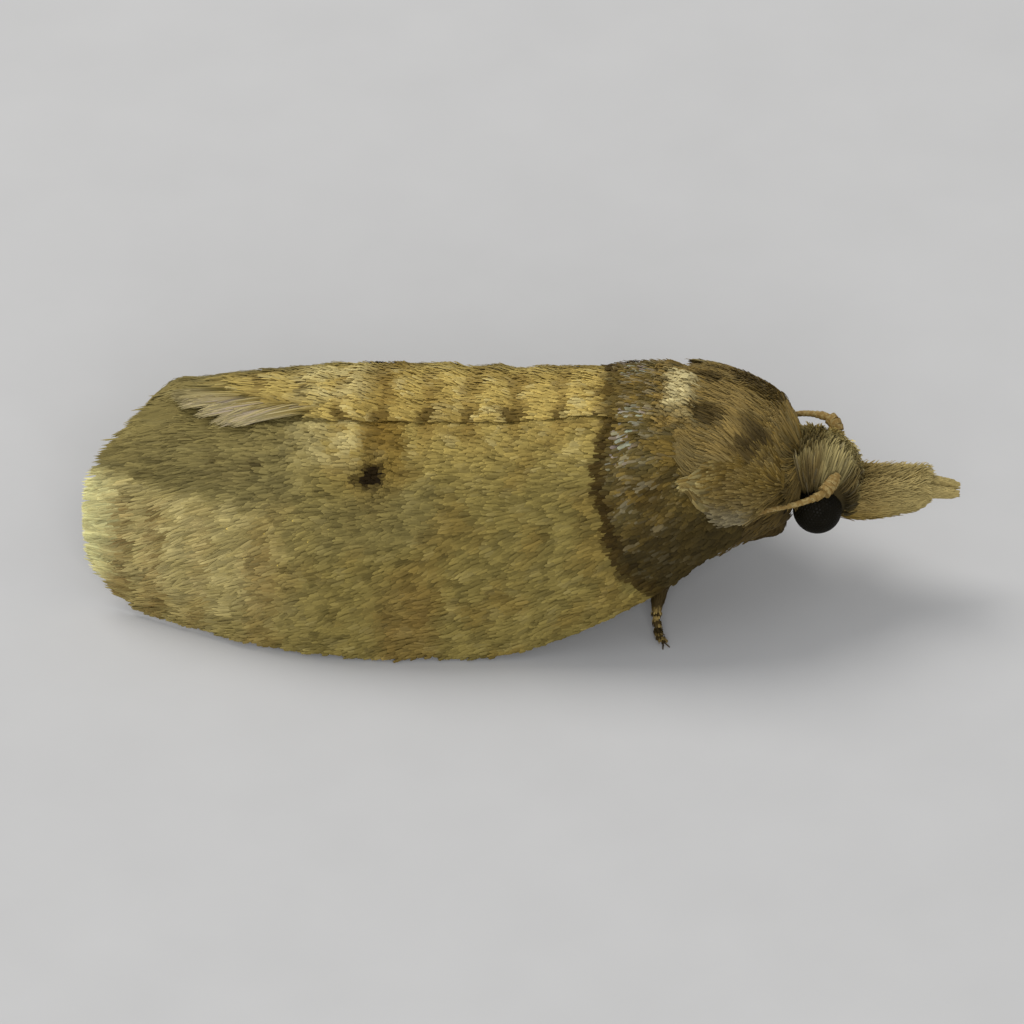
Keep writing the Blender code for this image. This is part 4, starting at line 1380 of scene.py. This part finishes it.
def saddle_scales():
    """Scales like those of the wings, which cover the place where both wings meet the back."""
    coat = COATS["saddle"]
    rng = np.random.default_rng(coat.seed)
    x, turn = spread(saddle_surface, (1.22, 2.2), (-40.0, 40.0), coat.density)
    keep = np.abs(turn) < 13 + 26 * smooth(x, 1.3, 2.4)
    x, turn = x[keep], turn[keep]
    count = len(x)
    toward = triples(-1.0, rng.normal(0, 0.1, count), 0.0)
    length = rng.uniform(*coat.length, count)
    tip = rng.uniform(*coat.tip, count)
    heights = (-0.03, tip * 0.5, tip, tip * 0.9)
    spines = lay(saddle_surface, x, turn, toward, length, heights, SCALE_STATIONS)
    place = seen_place(spines, 1)
    place[:, 1] = np.abs(place[:, 1])
    return tuft_object(
        "saddle_scales", spines, normals_of(saddle_surface, x, turn), rng.uniform(*coat.width, count), 0.008,
        SCALE_FORM, place, body_unwrap(saddle_surface(x, turn, 0.0)), chances(rng, count), wing_finish,
    )


# %% Lay the breast's hair and dress the thorax
def breast_hair():
    """Ragged brown hair on the breast, which shows below the tegula and the wing and is
    darkened there by painted shade.
    """
    coat = COATS["breast"]
    rng = np.random.default_rng(coat.seed)
    x, angle = spread(core, (1.9, 3.74), (40, 320), coat.density)
    count = len(x)
    toward = triples(-1.0, rng.normal(0, 0.3, count), -0.5 + rng.normal(0, 0.3, count))
    length = rng.uniform(*coat.length, count)
    tip = rng.uniform(*coat.tip, count) * (1 - 0.7 * smooth(x, 3.0, 3.3))
    heights = (-0.02, tip * 0.4, tip * 0.8, tip, tip)
    width = rng.uniform(*coat.width, count)
    return hair_coat(
        "breast_hair", core, x, angle, toward, length, heights, width, 0.009, thorax_finish, rng,
    )


wear([back_hair(), crest(), breast_hair(), saddle_scales()], "thorax_hair", "thorax")

# %% [markdown]
# ## Tegulae
#
# A tegula is the flap that covers the root of a forewing. Its scales all point away from
# its front corner, so they fan out backwards. At its rear they gather in pale bunches.

# %% Lay the tegulae's scales
TEGULA_TOP = profile((2.35, 44), (2.68, 39.5), (3.1, 37), (3.62, 36))
TEGULA_LOW = profile((2.35, 47), (2.5, 55), (2.89, 66), (3.15, 70), (3.45, 61), (3.62, 50))
TEGULA_X = (2.58, 3.62)
TEGULA_CORNER = (3.85, 46)


def tegula_surface(side):
    def surface(x, share, out):
        turn = TEGULA_TOP(x) + (TEGULA_LOW(x) - TEGULA_TOP(x)) * share
        swell = 0.03 * np.sin(np.pi * np.clip(share, 0, 1))
        return roof(x, side * turn, out - 0.03 + swell)
    return surface


# %% Colours of the tegulae
def tegula_colours(nodes):
    mix, step, band = nodes.mix, nodes.step, nodes.band
    x, turn, height = nodes.attribute("Place")
    _, along, luck = nodes.attribute("Tuft")
    wave = nodes.noise(nodes.vector(x, turn / 20, height), 3.0, 3.0) - 0.5
    colour = mix(step(turn + wave * 20, 44.0, 60.0) * 0.5, OCHRE, DRAB)
    colour = mix(step(wave, -0.05, 0.12) * 0.4, colour, TAWNY)
    colour = mix((1 - step(x + wave * 0.5, 2.62, 2.9)) * step(luck, 0.2, 0.7) * 0.6, colour, STRAW)
    ashen = step(turn + wave * 14, 58.0, 66.0) * band(x + wave * 0.3, 3.05, 0.16, 0.2)
    colour = mix(ashen * 0.6, colour, ASH)
    colour = mix(step(along, 0.5, 1.0) * 0.2, colour, STRAW)
    colour = mix(step(luck, 0.85, 0.95) * 0.5, colour, BARK)
    return hair_tint(nodes, colour, 0.2), None


tegula_finish = finish_of("tegula scales", tegula_colours, roughness=0.5)


# %% A tegula's plate and scales
def tegula_plate(label, side):
    surface = tegula_surface(side)
    x, share = np.meshgrid(np.linspace(TEGULA_X[1], TEGULA_X[0], 24), np.linspace(0, 1, 20), indexing="ij")
    turn = TEGULA_TOP(x) + (TEGULA_LOW(x) - TEGULA_TOP(x)) * share
    outer, inner = surface(x, share, -0.005), surface(x, share, -0.07)
    return plate_object(f"tegula_plate_{label}", outer, inner, triples(x, turn, 0.0), tegula_finish)


def tegula_scales(label, side, k):
    coat = COATS["tegula"]
    rng = np.random.default_rng(coat.seed + k)
    surface = tegula_surface(side)
    x, share = spread(surface, TEGULA_X, (0.0, 1.0), coat.density)
    roots = surface(x, share, 0.0)
    corner = roof(TEGULA_CORNER[0], side * TEGULA_CORNER[1], 0.0)
    bunch = uneven(x * 5, share * 6, 10) - 0.5
    rear = smooth(x, 3.15, 2.75)
    count = len(x)
    toward = unit(roots - corner) + rng.normal(0, 0.07, roots.shape)
    toward = toward + (bunch * rear * 0.9)[:, None] * np.array((0.0, side * 0.6, -0.8))
    length = rng.uniform(*coat.length, count) * (1 + 0.5 * bunch * rear)
    tip = rng.uniform(*coat.tip, count) + 0.05 * (bunch + 0.3) * (0.4 + 0.6 * rear)
    tip = np.maximum(tip, 0.01)
    heights = (-0.02, tip * 0.5, tip * 0.9, tip, tip * 0.9)
    turn = TEGULA_TOP(x) + (TEGULA_LOW(x) - TEGULA_TOP(x)) * share
    return tuft_object(
        f"tegula_scales_{label}", lay(surface, x, share, toward, length, heights, HAIR_STATIONS),
        normals_of(surface, x, share), rng.uniform(*coat.width, count) * (1 + 0.5 * rear), 0.008,
        ((0.6, 0.9), (1.0, 1.0), (0.85, 0.8)), triples(x, turn, 0.0), body_unwrap(roots),
        chances(rng, count), tegula_finish,
    )


for k, (label, side) in enumerate(SIDES):
    pieces = [tegula_plate(label, side), tegula_scales(label, side, k)]
    wear(pieces, "tegula_scales", f"tegula_{label}")

# %% [markdown]
# ## Head
#
# The head gets the most care. Its hairs start between the eyes and stand up in a fan: at
# the nape straight up, at the brow forwards, at the mouth forwards and down. From both
# sides they lean in towards the middle, which gives the head its pointed tuft.

# %% Stand the head's hair up
FAN_FORWARD = profile(
    (-85, -0.46), (-55, -0.34), (-25, -0.08), (0, 0.14), (24, 0.28), (63, 0.39), (110, 0.44), (150, 0.4),
)
FAN_UP = profile(
    (-85, 0.58), (-55, 0.73), (-25, 0.79), (0, 0.72), (24, 0.56), (63, 0.3), (110, -0.04), (150, -0.3),
)
SIDE_FAN_ROOT = np.array((3.96, 0.53, 1.76))
SIDE_FAN_TIPS = np.array((
    (3.7, 0.34, 2.2), (3.84, 0.24, 2.33), (4.05, 0.17, 2.37), (4.25, 0.13, 2.3), (4.44, 0.1, 2.14),
))
SIDE_FAN_LOCKS = 11
SIDE_FAN_COUNT = 1100
HEAD_TOP = 2.42


def short_hair(rng):
    """Roots and tips of the hair that stands all over the head."""
    lateral, pitch = spread(head, (-68, 68), (-85, 150), COATS["head"].density)
    eye_gap = np.linalg.norm(np.abs(head(lateral, pitch, 0.0)) - EYE_CENTRE, axis=-1)
    keep = eye_gap > EYE_RADIUS + 0.02
    lateral, pitch = lateral[keep], pitch[keep]
    count = len(pitch)
    root = head(lateral, pitch, -0.02)
    lean = 0.4 + 0.35 * smooth(pitch, 40, 110)
    tip = HEAD_CENTRE + np.stack((FAN_FORWARD(pitch), root[:, 1] * lean, FAN_UP(pitch)), -1)
    tip = tip + rng.normal(0, 0.025, (count, 3))
    reach = rng.uniform(*COATS["head"].length, (count, 1))
    return root, root + (tip - root) * reach, normals_of(head, lateral, pitch)


def side_fan(rng, side, count):
    """Roots and tips of the locks that rise from behind an eye to the crest."""
    lock = rng.integers(0, SIDE_FAN_LOCKS, count)
    share = (lock + 0.5 + rng.normal(0, 0.32, count)) / SIDE_FAN_LOCKS
    place = np.clip(share, 0, 1) * (len(SIDE_FAN_TIPS) - 1)
    tip = np.stack([np.interp(place, range(len(SIDE_FAN_TIPS)), SIDE_FAN_TIPS[:, k]) for k in range(3)], -1)
    root = SIDE_FAN_ROOT + (0.24, 0.0, 0.0) * (share[:, None] - 0.35) + rng.normal(0, 0.03, (count, 3))
    reach = rng.uniform(0.55, 1.0, (count, 1)) * (0.9 + 0.1 * np.cos(lock * 2.4))[:, None]
    tip = root + (tip - root) * reach + rng.normal(0, 0.03, (count, 3)) * reach
    out = np.tile((0.0, 0.9, 0.4), (count, 1))
    return root * (1, side, 1), tip * (1, side, 1), out * (1, side, 1)


# %% Gather the head's hair
def head_hair():
    coat = COATS["head"]
    rng = np.random.default_rng(coat.seed)
    groups = [short_hair(rng), side_fan(rng, 1, SIDE_FAN_COUNT), side_fan(rng, -1, SIDE_FAN_COUNT)]
    root, tip, normal = (np.concatenate(parts) for parts in zip(*groups))
    count = len(root)
    bulge = normal * rng.uniform(*coat.tip, (count, 1))
    spines = np.stack([root + (tip - root) * t + bulge * (4 * t * (1 - t)) for t in HAIR_STATIONS], 1)
    spines[..., 2] = np.minimum(spines[..., 2], HEAD_TOP)
    side = unit(np.cross(normal, tip - root))
    facing = unit(np.cross(side, tip - root) + rng.normal(0, 0.25, root.shape))
    return tuft_object(
        "head_hair", spines, facing, rng.uniform(*coat.width, count), 0.008, LONG_FORM,
        body_place(spines[:, -2]), body_unwrap(root), chances(rng, count), head_finish,
    )


wear([head_hair()], "head_hair", "head")

# %% [markdown]
# ## Palps
#
# The palps reach forward from the mouth like a beak. Their scales lie forwards, stand out
# a little more above and below, and leave only the thin last joint bare of long ones.

# %% Lay the palps' scales
def palp_scales(label, side, k):
    coat = COATS["palp"]
    rng = np.random.default_rng(coat.seed + k)
    surface = palp(side)
    x, angle = spread(surface, (4.32, 5.86), (0, 360), coat.density)
    count = len(x)
    rough = np.abs(np.sin(np.radians(angle)))
    thin = smooth(x, 5.4, 5.52)
    above = smooth(np.sin(np.radians(angle)), 0.1, 0.8)
    toward = triples(1.0, rng.normal(0, 0.1, count), 0.25 + rng.normal(0, 0.14, count))
    length = rng.uniform(*coat.length, count)
    length = np.minimum(length, np.maximum(5.58 + rng.normal(0, 0.03, count) - x, 0.07))
    length = np.where(x > 5.5, np.minimum(rng.uniform(0.09, 0.15, count), 5.975 - x), length)
    tip = rng.uniform(*coat.tip, count) + rng.random(count) * (0.03 * rough + 0.11 * above)
    tip = tip * (1 - 0.85 * thin)
    heights = (-0.015, tip * 0.3, tip * 0.65, tip * 0.95, tip)
    width = rng.uniform(*coat.width, count) * (1 + 0.2 * thin)
    return hair_coat(
        f"palp_scales_{label}", surface, x, angle, toward, length, heights, width, 0.008, palp_finish, rng,
    )


for k, (label, side) in enumerate(SIDES):
    wear([palp_scales(label, side, k)], "palp_scales", f"palp_{label}")

# %% [markdown]
# ## Eyes
#
# An insect's eye is a dome of some thousand hexagonal lenses. Geometry Nodes make it by
# rule: the faces of a finely divided ball are turned into its points, which gives
# hexagons, and each hexagon is raised a little and made smaller at its top.

# %% A Geometry Nodes tree and how to apply it
def new_tree(name, inputs):
    tree = bpy.data.node_groups.new(name, "GeometryNodeTree")
    tree.interface.new_socket("Geometry", in_out="INPUT", socket_type="NodeSocketGeometry")
    for label, kind, value in inputs:
        socket = tree.interface.new_socket(label, in_out="INPUT", socket_type=kind)
        if value is not None:
            socket.default_value = value
    tree.interface.new_socket("Geometry", in_out="OUTPUT", socket_type="NodeSocketGeometry")
    nodes = Nodes(tree)
    group = tree.nodes.new("NodeGroupInput")
    return tree, nodes, {socket.name: Wire(nodes, socket) for socket in group.outputs if socket.name}


def end_tree(nodes, geometry, material):
    """Every tree ends in real geometry with its material."""
    real = nodes.add("GeometryNodeRealizeInstances", {}, {0: geometry})
    finished = nodes.add("GeometryNodeSetMaterial", {}, {"Geometry": real, "Material": material})
    end = nodes.tree.nodes.new("NodeGroupOutput")
    nodes.tree.links.new(finished.socket, end.inputs[0])


def grown(name, host_mesh, tree, values):
    """Runs a tree on a mesh and returns the plain object that it makes."""
    host = add_object(name + "_host", host_mesh)
    modifier = host.modifiers.new("grow", "NODES")
    modifier.node_group = tree
    for item in tree.interface.items_tree:
        if item.in_out == "INPUT" and item.name in values:
            modifier[item.identifier] = values[item.name]
    mesh = bpy.data.meshes.new_from_object(host.evaluated_get(bpy.context.evaluated_depsgraph_get()))
    bpy.data.objects.remove(host)
    mesh.name = name
    print(f"{name}: {len(mesh.polygons)} faces from the tree {tree.name}")
    return add_object(name, mesh)


# %% Grow the eyes
def eye_colours(nodes):
    mottle = nodes.noise(nodes.object_place(), 1 / (0.12 * MM), 2.0)
    return nodes.mix(mottle, (0.003, 0.0024, 0.001), (0.008, 0.0065, 0.003)), 0.36 + mottle * 0.1


eye_finish = finish_of("eye", eye_colours, specular=0.06)


LENS_TOP = 0.62


def eye_tree():
    tree, nodes, given = new_tree("lenses", (
        ("Radius", "NodeSocketFloat", 1.0), ("Divisions", "NodeSocketInt", 5),
        ("Rise", "NodeSocketFloat", 0.1), ("Centre", "NodeSocketVector", None),
        ("Material", "NodeSocketMaterial", None),
    ))
    ball = nodes.add("GeometryNodeMeshIcoSphere", {}, {
        "Radius": given["Radius"], "Subdivisions": given["Divisions"],
    })
    hexagons = nodes.add("GeometryNodeDualMesh", {}, {0: ball})
    raised = nodes.add("GeometryNodeExtrudeMesh", {"mode": "FACES"}, {
        "Mesh": hexagons, "Offset Scale": given["Rise"], "Individual": True,
    })
    top = Wire(nodes, raised.socket.node.outputs["Top"])
    domed = nodes.add("GeometryNodeScaleElements", {}, {
        "Geometry": raised, "Selection": top, "Scale": LENS_TOP,
    })
    placed = nodes.add("GeometryNodeTransform", {}, {"Geometry": domed, "Translation": given["Centre"]})
    end_tree(nodes, placed, given["Material"])
    return tree


EYE_DIVISIONS = 4
LENS_RISE = 0.006
lenses = eye_tree()
for label, side in SIDES:
    centre = EYE_CENTRE * (1, side, 1) * MM
    eye = grown(f"eye_lenses_{label}", bpy.data.meshes.new("empty"), lenses, {
        "Radius": (EYE_RADIUS - LENS_RISE) * MM, "Divisions": EYE_DIVISIONS, "Rise": LENS_RISE * MM,
        "Centre": centre.tolist(), "Material": eye_finish,
    })
    wear([eye], "eye", f"eye_{label}")

# %% [markdown]
# ## Antennae
#
# An antenna is a thick first joint, a short second one and then a whip of some sixty
# joints, each with a pale scaly rim. Geometry Nodes set a small tapered joint at equal
# steps along a path and turn each one to the path's direction.

# %% Grow the antennae
ANTENNA_NEAR = (
    (4.3, 0.46, 1.97), (4.22, 0.62, 1.93), (4.1, 0.76, 1.88), (3.84, 0.9, 1.84), (3.59, 0.99, 1.82),
    (3.4, 0.99, 1.76), (3.2, 0.93, 1.6), (2.85, 0.98, 1.34), (2.2, 1.06, 1.1), (1.7, 1.12, 0.98),
    (1.2, 1.22, 0.88), (0.6, 1.44, 0.76),
)
ANTENNA_FAR = (
    (4.28, 0.42, 1.94), (4.27, 0.5, 2.04), (4.18, 0.62, 2.12), (3.96, 0.74, 2.1), (3.7, 0.88, 1.98),
    (3.45, 1.0, 1.76), (3.2, 0.96, 1.58), (2.85, 0.98, 1.34), (2.2, 1.06, 1.1), (1.7, 1.12, 0.98),
    (1.2, 1.22, 0.88), (0.6, 1.44, 0.76),
)
ANTENNA_RADIUS = profile(
    (0, 0.06), (0.02, 0.095), (0.065, 0.1), (0.08, 0.055), (0.1, 0.062), (0.125, 0.046), (0.3, 0.036),
    (1, 0.022),
)
ANTENNA_JOINTS = 62
JOINT_OVERLAP = 1.06


def antenna_colours(nodes):
    mottle = nodes.noise(nodes.object_place(), 1 / (0.05 * MM), 2.0)
    colour = nodes.mix(nodes.step(mottle, 0.45, 0.6), (0.24, 0.155, 0.05), (0.34, 0.25, 0.1))
    return nodes.mix(nodes.step(mottle, 0.62, 0.72) * 0.5, colour, BARK), None


antenna_finish = finish_of("antenna scales", antenna_colours, roughness=0.55, relief=(0.02, 0.5))


# %% Grow a joint at each step of a path
def antenna_tree():
    tree, nodes, given = new_tree("joints along a path", (
        ("Joints", "NodeSocketInt", 10), ("Length", "NodeSocketFloat", 0.1),
        ("Material", "NodeSocketMaterial", None),
    ))
    path = nodes.add("GeometryNodeMeshToCurve", {}, {0: given["Geometry"]})
    points = nodes.add("GeometryNodeCurveToPoints", {"mode": "COUNT"}, {
        "Curve": path, "Count": given["Joints"],
    })
    direction = Wire(nodes, points.socket.node.outputs["Rotation"])
    joint = nodes.add("GeometryNodeMeshCone", {}, {
        "Vertices": 12, "Side Segments": 2, "Radius Top": 1.0, "Radius Bottom": 0.9, "Depth": 1.0,
    })
    centred = nodes.add("GeometryNodeTransform", {}, {"Geometry": joint, "Translation": (0, 0, -0.5)})
    radius = nodes.add("GeometryNodeInputNamedAttribute", {"data_type": "FLOAT"}, {"Name": "Radius"})
    size = nodes.vector(radius, radius, given["Length"])
    placed = nodes.add("GeometryNodeInstanceOnPoints", {}, {
        "Points": points, "Instance": centred, "Rotation": direction, "Scale": size,
    })
    end_tree(nodes, placed, given["Material"])
    return tree


joints = antenna_tree()
for label, side in SIDES:
    path = smooth_path([(x, side * y, z) for x, y, z in (ANTENNA_FAR if side > 0 else ANTENNA_NEAR)])
    way = np.concatenate(([0], np.cumsum(np.linalg.norm(np.diff(path, axis=0), axis=1))))
    line = bpy.data.meshes.new("antenna_path")
    line.from_pydata((path * MM).tolist(), [(i, i + 1) for i in range(len(path) - 1)], [])
    radii = line.attributes.new("Radius", "FLOAT", "POINT")
    radii.data.foreach_set("value", (ANTENNA_RADIUS(way / way[-1]) * MM).astype(np.float32))
    antenna = grown(f"antenna_joints_{label}", line, joints, {
        "Joints": ANTENNA_JOINTS, "Length": JOINT_OVERLAP * way[-1] / ANTENNA_JOINTS * MM,
        "Material": antenna_finish,
    })
    wear([antenna], "antenna_scales", f"antenna_{label}")

# %% [markdown]
# ## Legs
#
# Only one foot shows in the photograph, with yellow and brown rings. The others follow the
# species: scaly thighs and shins, a pair of spurs at the end of the middle shin and two
# pairs on the hind one, and feet of five joints with two small claws. The forelegs are
# folded up against the breast, and the animal stands on the other four feet.

# %% Lay the legs' scales, spurs and claws
LEG_SCALE_LENGTH = 0.14
SPURS = {"foreleg": (), "midleg": (0.7,), "hindleg": (0.5, 0.7)}
# A claw's points: how far ahead of the foot's end, how far aside, and how far up.
CLAW = ((-0.03, 0.0, 0.0), (0.03, 0.5, 0.0), (0.07, 1.0, -0.012), (0.08, 1.0, -0.035))


def leg_scales(kind, label, side, more_seed):
    coat = COATS["leg"]
    rng = np.random.default_rng(coat.seed + more_seed)
    surface = limb(leg_path(kind, side), leg_radius)
    share, angle = spread(surface, (0.1, 0.97), (0, 360), coat.density)
    count = len(share)
    ahead = unit(surface(share + 0.01, angle, 0.0) - surface(share, angle, 0.0))
    length = LEG_SCALE_LENGTH * (1 - 0.5 * smooth(share, 0.7, 0.76)) * rng.uniform(*coat.length, count)
    tip = rng.uniform(*coat.tip, count)
    spines = lay(surface, share, angle, ahead, length, (-0.01, tip * 0.7, tip, tip), SCALE_STATIONS)
    roots = surface(share, angle, 0.0)
    return tuft_object(
        f"{kind}_scales_{label}", spines, normals_of(surface, share, angle), rng.uniform(*coat.width, count),
        0.006, SCALE_FORM, triples(share, angle, roots[:, 2]),
        np.stack((share * 0.98 + 0.01, angle / 360 * 0.98 + 0.01), -1), chances(rng, count), leg_finish,
    )


# %% Spurs and claws
def claws_and_spurs(kind, label, side):
    path = leg_path(kind, side)
    surface = limb(path, leg_radius)
    spines = []
    for share in SPURS[kind]:
        start = surface(share, 0.0, -leg_radius(share))
        ahead = unit(surface(share + 0.03, 0.0, 0.0) - surface(share, 0.0, 0.0))
        for out in (-1, 1):
            aside = np.array((0.0, out * 0.45, -0.35))
            spines.append([start + (ahead * 0.28 + aside * 0.3) * t for t in (0.0, 0.4, 0.8, 1.0)])
    end, ahead = path[-1], unit(path[-1] - path[-3])
    for out in (-1, 1):
        aside = np.cross(ahead, (0, 0, 1)) * out * 0.05
        spines.append([
            end + ahead * forward + aside * beside + np.array((0, 0, drop)) for forward, beside, drop in CLAW
        ])
    spines = np.array(spines)
    count = len(spines)
    normals = np.tile((0.0, 0.0, 1.0), (count, 1))
    place = np.tile((0.3, 0.0, 0.1), (count, 1))
    width = np.where(np.arange(count) < count - 2, 0.05, 0.024)
    return tuft_object(
        f"{kind}_claws_{label}", spines, normals, width, width * 0.8, HAIR_FORM, place,
        np.tile((0.5, 0.5), (count, 1)), np.full((count, 2), 0.4), leg_finish,
    )


for i, kind in enumerate(LEG_PATHS):
    for label, side in SIDES:
        pieces = [leg_scales(kind, label, side, i + 5 * side), claws_and_spurs(kind, label, side)]
        wear(pieces, "leg_scales", f"{kind}_{label}")

# %% [markdown]
# ## Abdomen and hindwings
#
# Both are hidden under the forewings and show only from behind or below. The abdomen has
# rings of small scales and a tuft at its end. The hindwings are folded under the
# forewings, thin and grey, with a long soft fringe.

# %% Lay the abdomen's scales
def abdomen_scales():
    coat = COATS["abdomen"]
    rng = np.random.default_rng(coat.seed)
    reach = ABDOMEN_FRONT - ABDOMEN_END
    back_way, angle = spread(abdomen, (0.2, reach), (-180, 180), coat.density)
    count = len(angle)
    end = smooth(back_way, reach - 0.5, reach)
    toward = (-1.0, 0.0, 0.0) + rng.normal(0, 0.06, (count, 3))
    length = rng.uniform(*coat.length, count) + 0.2 * end
    tip = rng.uniform(*coat.tip, count)
    width = rng.uniform(*coat.width, count) * (1 - 0.4 * end)
    heights = (-0.01, tip * 0.6, tip, tip)
    return hair_coat(
        "abdomen_scales", abdomen, back_way, angle, toward, length, heights, width, 0.012,
        abdomen_finish, rng, SCALE_STATIONS, SCALE_FORM,
    )


wear([abdomen_scales()], "abdomen_scales", "abdomen")

# %% Shape of the hindwings
HINDWING_TOP = profile((-4.2, 16), (-2.5, 8), (0.3, 9), (1.1, 25), (1.5, 40))
HINDWING_LOW = profile((-4.2, 62), (-2.0, 70), (0.0, 70), (1.5, 62))
HINDWING_ROOT_X = 1.5
HINDWING_END = profile((0, -3.2), (0.4, -3.75), (0.75, -3.9), (1, -3.3))
HINDWING_DEPTH = 0.7
HINDWING_THICK = 0.045
HINDWING_LIMIT = -4.36
HINDWING_FRINGE = 1100
HINDWING_VEINS = (0.15, 0.35, 0.55, 0.7, 0.85)


def hindwing_place(along, share):
    x = HINDWING_ROOT_X + (HINDWING_END(share) - HINDWING_ROOT_X) * along
    return x, HINDWING_TOP(x) + (HINDWING_LOW(x) - HINDWING_TOP(x)) * share


def hindwing_surface(side):
    def surface(along, share, out):
        x, turn = hindwing_place(along, share)
        return roof(x, side * turn, out - HINDWING_DEPTH)
    return surface


# %% Colours of the hindwings
def hindwing_colours(nodes):
    x, turn, _ = nodes.attribute("Place")
    mottle = nodes.noise(nodes.vector(x, turn / 25), 2.5, 3.0)
    colour = nodes.mix(mottle, (0.30, 0.27, 0.21), (0.42, 0.38, 0.30))
    colour = nodes.mix((1 - nodes.step(x, -3.7, -3.3)) * 0.5, colour, (0.55, 0.52, 0.44))
    return hair_tint(nodes, colour, 0.65), None


hindwing_finish = finish_of("hindwing scales", hindwing_colours, roughness=0.6)


# %% Build the hindwings
def hindwing_pieces(label, side, k):
    coat = COATS["hindwing"]
    rng = np.random.default_rng(coat.seed + k)
    surface = hindwing_surface(side)
    along, share = np.meshgrid(np.linspace(0, 1, 60), np.linspace(0, 1, 40), indexing="ij")
    veins = sum(np.exp(-(((share - vein) / 0.012) ** 2)) for vein in HINDWING_VEINS)
    x, turn = hindwing_place(along, share)
    lift = 0.014 * veins * smooth(along, 0.1, 0.3)
    outer, inner = surface(along, share, lift), surface(along, share, -HINDWING_THICK - lift)
    name = f"hindwing_membrane_{label}"
    pieces = [plate_object(name, outer, inner, triples(x, turn, 0.0), hindwing_finish)]
    flat = spread(surface, (0.0, 0.98), (0.02, 0.98), coat.density)
    ends = rng.uniform(0.93, 1.0, HINDWING_FRINGE), rng.uniform(0.02, 0.98, HINDWING_FRINGE)
    for name, places, length, width, heights in (
        ("scales", flat, 0.2, 0.08, (-0.01, 0.015, 0.03, 0.03)),
        ("fringe", ends, 0.42, 0.04, (-0.03, 0.0, 0.0, 0.0)),
    ):
        fringe = name == "fringe"
        along, share = places
        count = len(along)
        x, turn = hindwing_place(along, share)
        angle = rng.normal(0, 0.12, count) - (0.9 * (0.5 - share) if fringe else 0.0)
        toward = turned(surface, along, share, angle)
        lengths = length * rng.uniform(*coat.length, count)
        if fringe:
            lengths = np.minimum(lengths, x - HINDWING_LIMIT)
        spines = lay(surface, along, share, toward, lengths, heights, SCALE_STATIONS)
        widths = width * rng.uniform(*coat.width, count)
        pieces.append(tuft_object(
            f"hindwing_{name}_{label}", spines, normals_of(surface, along, share), widths, 0.01, SCALE_FORM,
            triples(x, turn, 0.0), wing_unwrap(x, turn), chances(rng, count), hindwing_finish,
        ))
    return pieces


for k, (label, side) in enumerate(SIDES):
    wear(hindwing_pieces(label, side, k), "hindwing_scales", f"hindwing_{label}")

# %% [markdown]
# ## Floor and light
#
# The model stands on a plain pale floor. One large soft lamp stands behind it on the
# left, as in the photograph, where the shadow falls forward and to the right under the
# head. A second lamp in front and a pale surrounding fill the side that the camera sees.

# %% Floor
FLOOR_SIZE = 400 * MM


def floor_colours(nodes):
    mottle = nodes.noise(nodes.object_place(), 1 / (1.5 * MM), 3.0)
    return nodes.mix(mottle, (0.50, 0.50, 0.50), (0.54, 0.54, 0.54)), None


half = FLOOR_SIZE / 2
floor_mesh = bpy.data.meshes.new("floor")
corners = [(-half, -half, 0), (half, -half, 0), (half, half, 0), (-half, half, 0)]
floor_mesh.from_pydata(corners, [], [(0, 1, 2, 3)])
floor_mesh.materials.append(finish_of("plain floor", floor_colours, roughness=0.9, specular=0.1))
floor = add_object("floor", floor_mesh)

# %% Lights
SKY = 0.5


def soft_lamp(name, place, size, power, colour):
    lamp = add_object(name, bpy.data.lights.new(name, "AREA"))
    lamp.location = Vector(place) * MM
    lamp.rotation_euler = Vector(place).to_track_quat("Z", "Y").to_euler()
    lamp.data.shape = "DISK"
    lamp.data.size = size * MM
    lamp.data.energy = power
    lamp.data.color = colour


soft_lamp("key lamp", (-90, 80, 150), 120, 0.22, (1.0, 0.98, 0.95))
soft_lamp("front lamp", (20, -170, 90), 110, 0.16, (1.0, 1.0, 1.0))

world = bpy.data.worlds.new("pale room")
world.use_nodes = True
world.node_tree.nodes["Background"].inputs[0].default_value = (0.97, 0.98, 1.0, 1)
world.node_tree.nodes["Background"].inputs[1].default_value = SKY
bpy.context.scene.world = world
bpy.context.scene.view_settings.view_transform = "Standard"

# %% [markdown]
# ## Last step
#
# Last, the view layer is brought up to date.

# %% Bring the view layer up to date
bpy.context.view_layer.update()
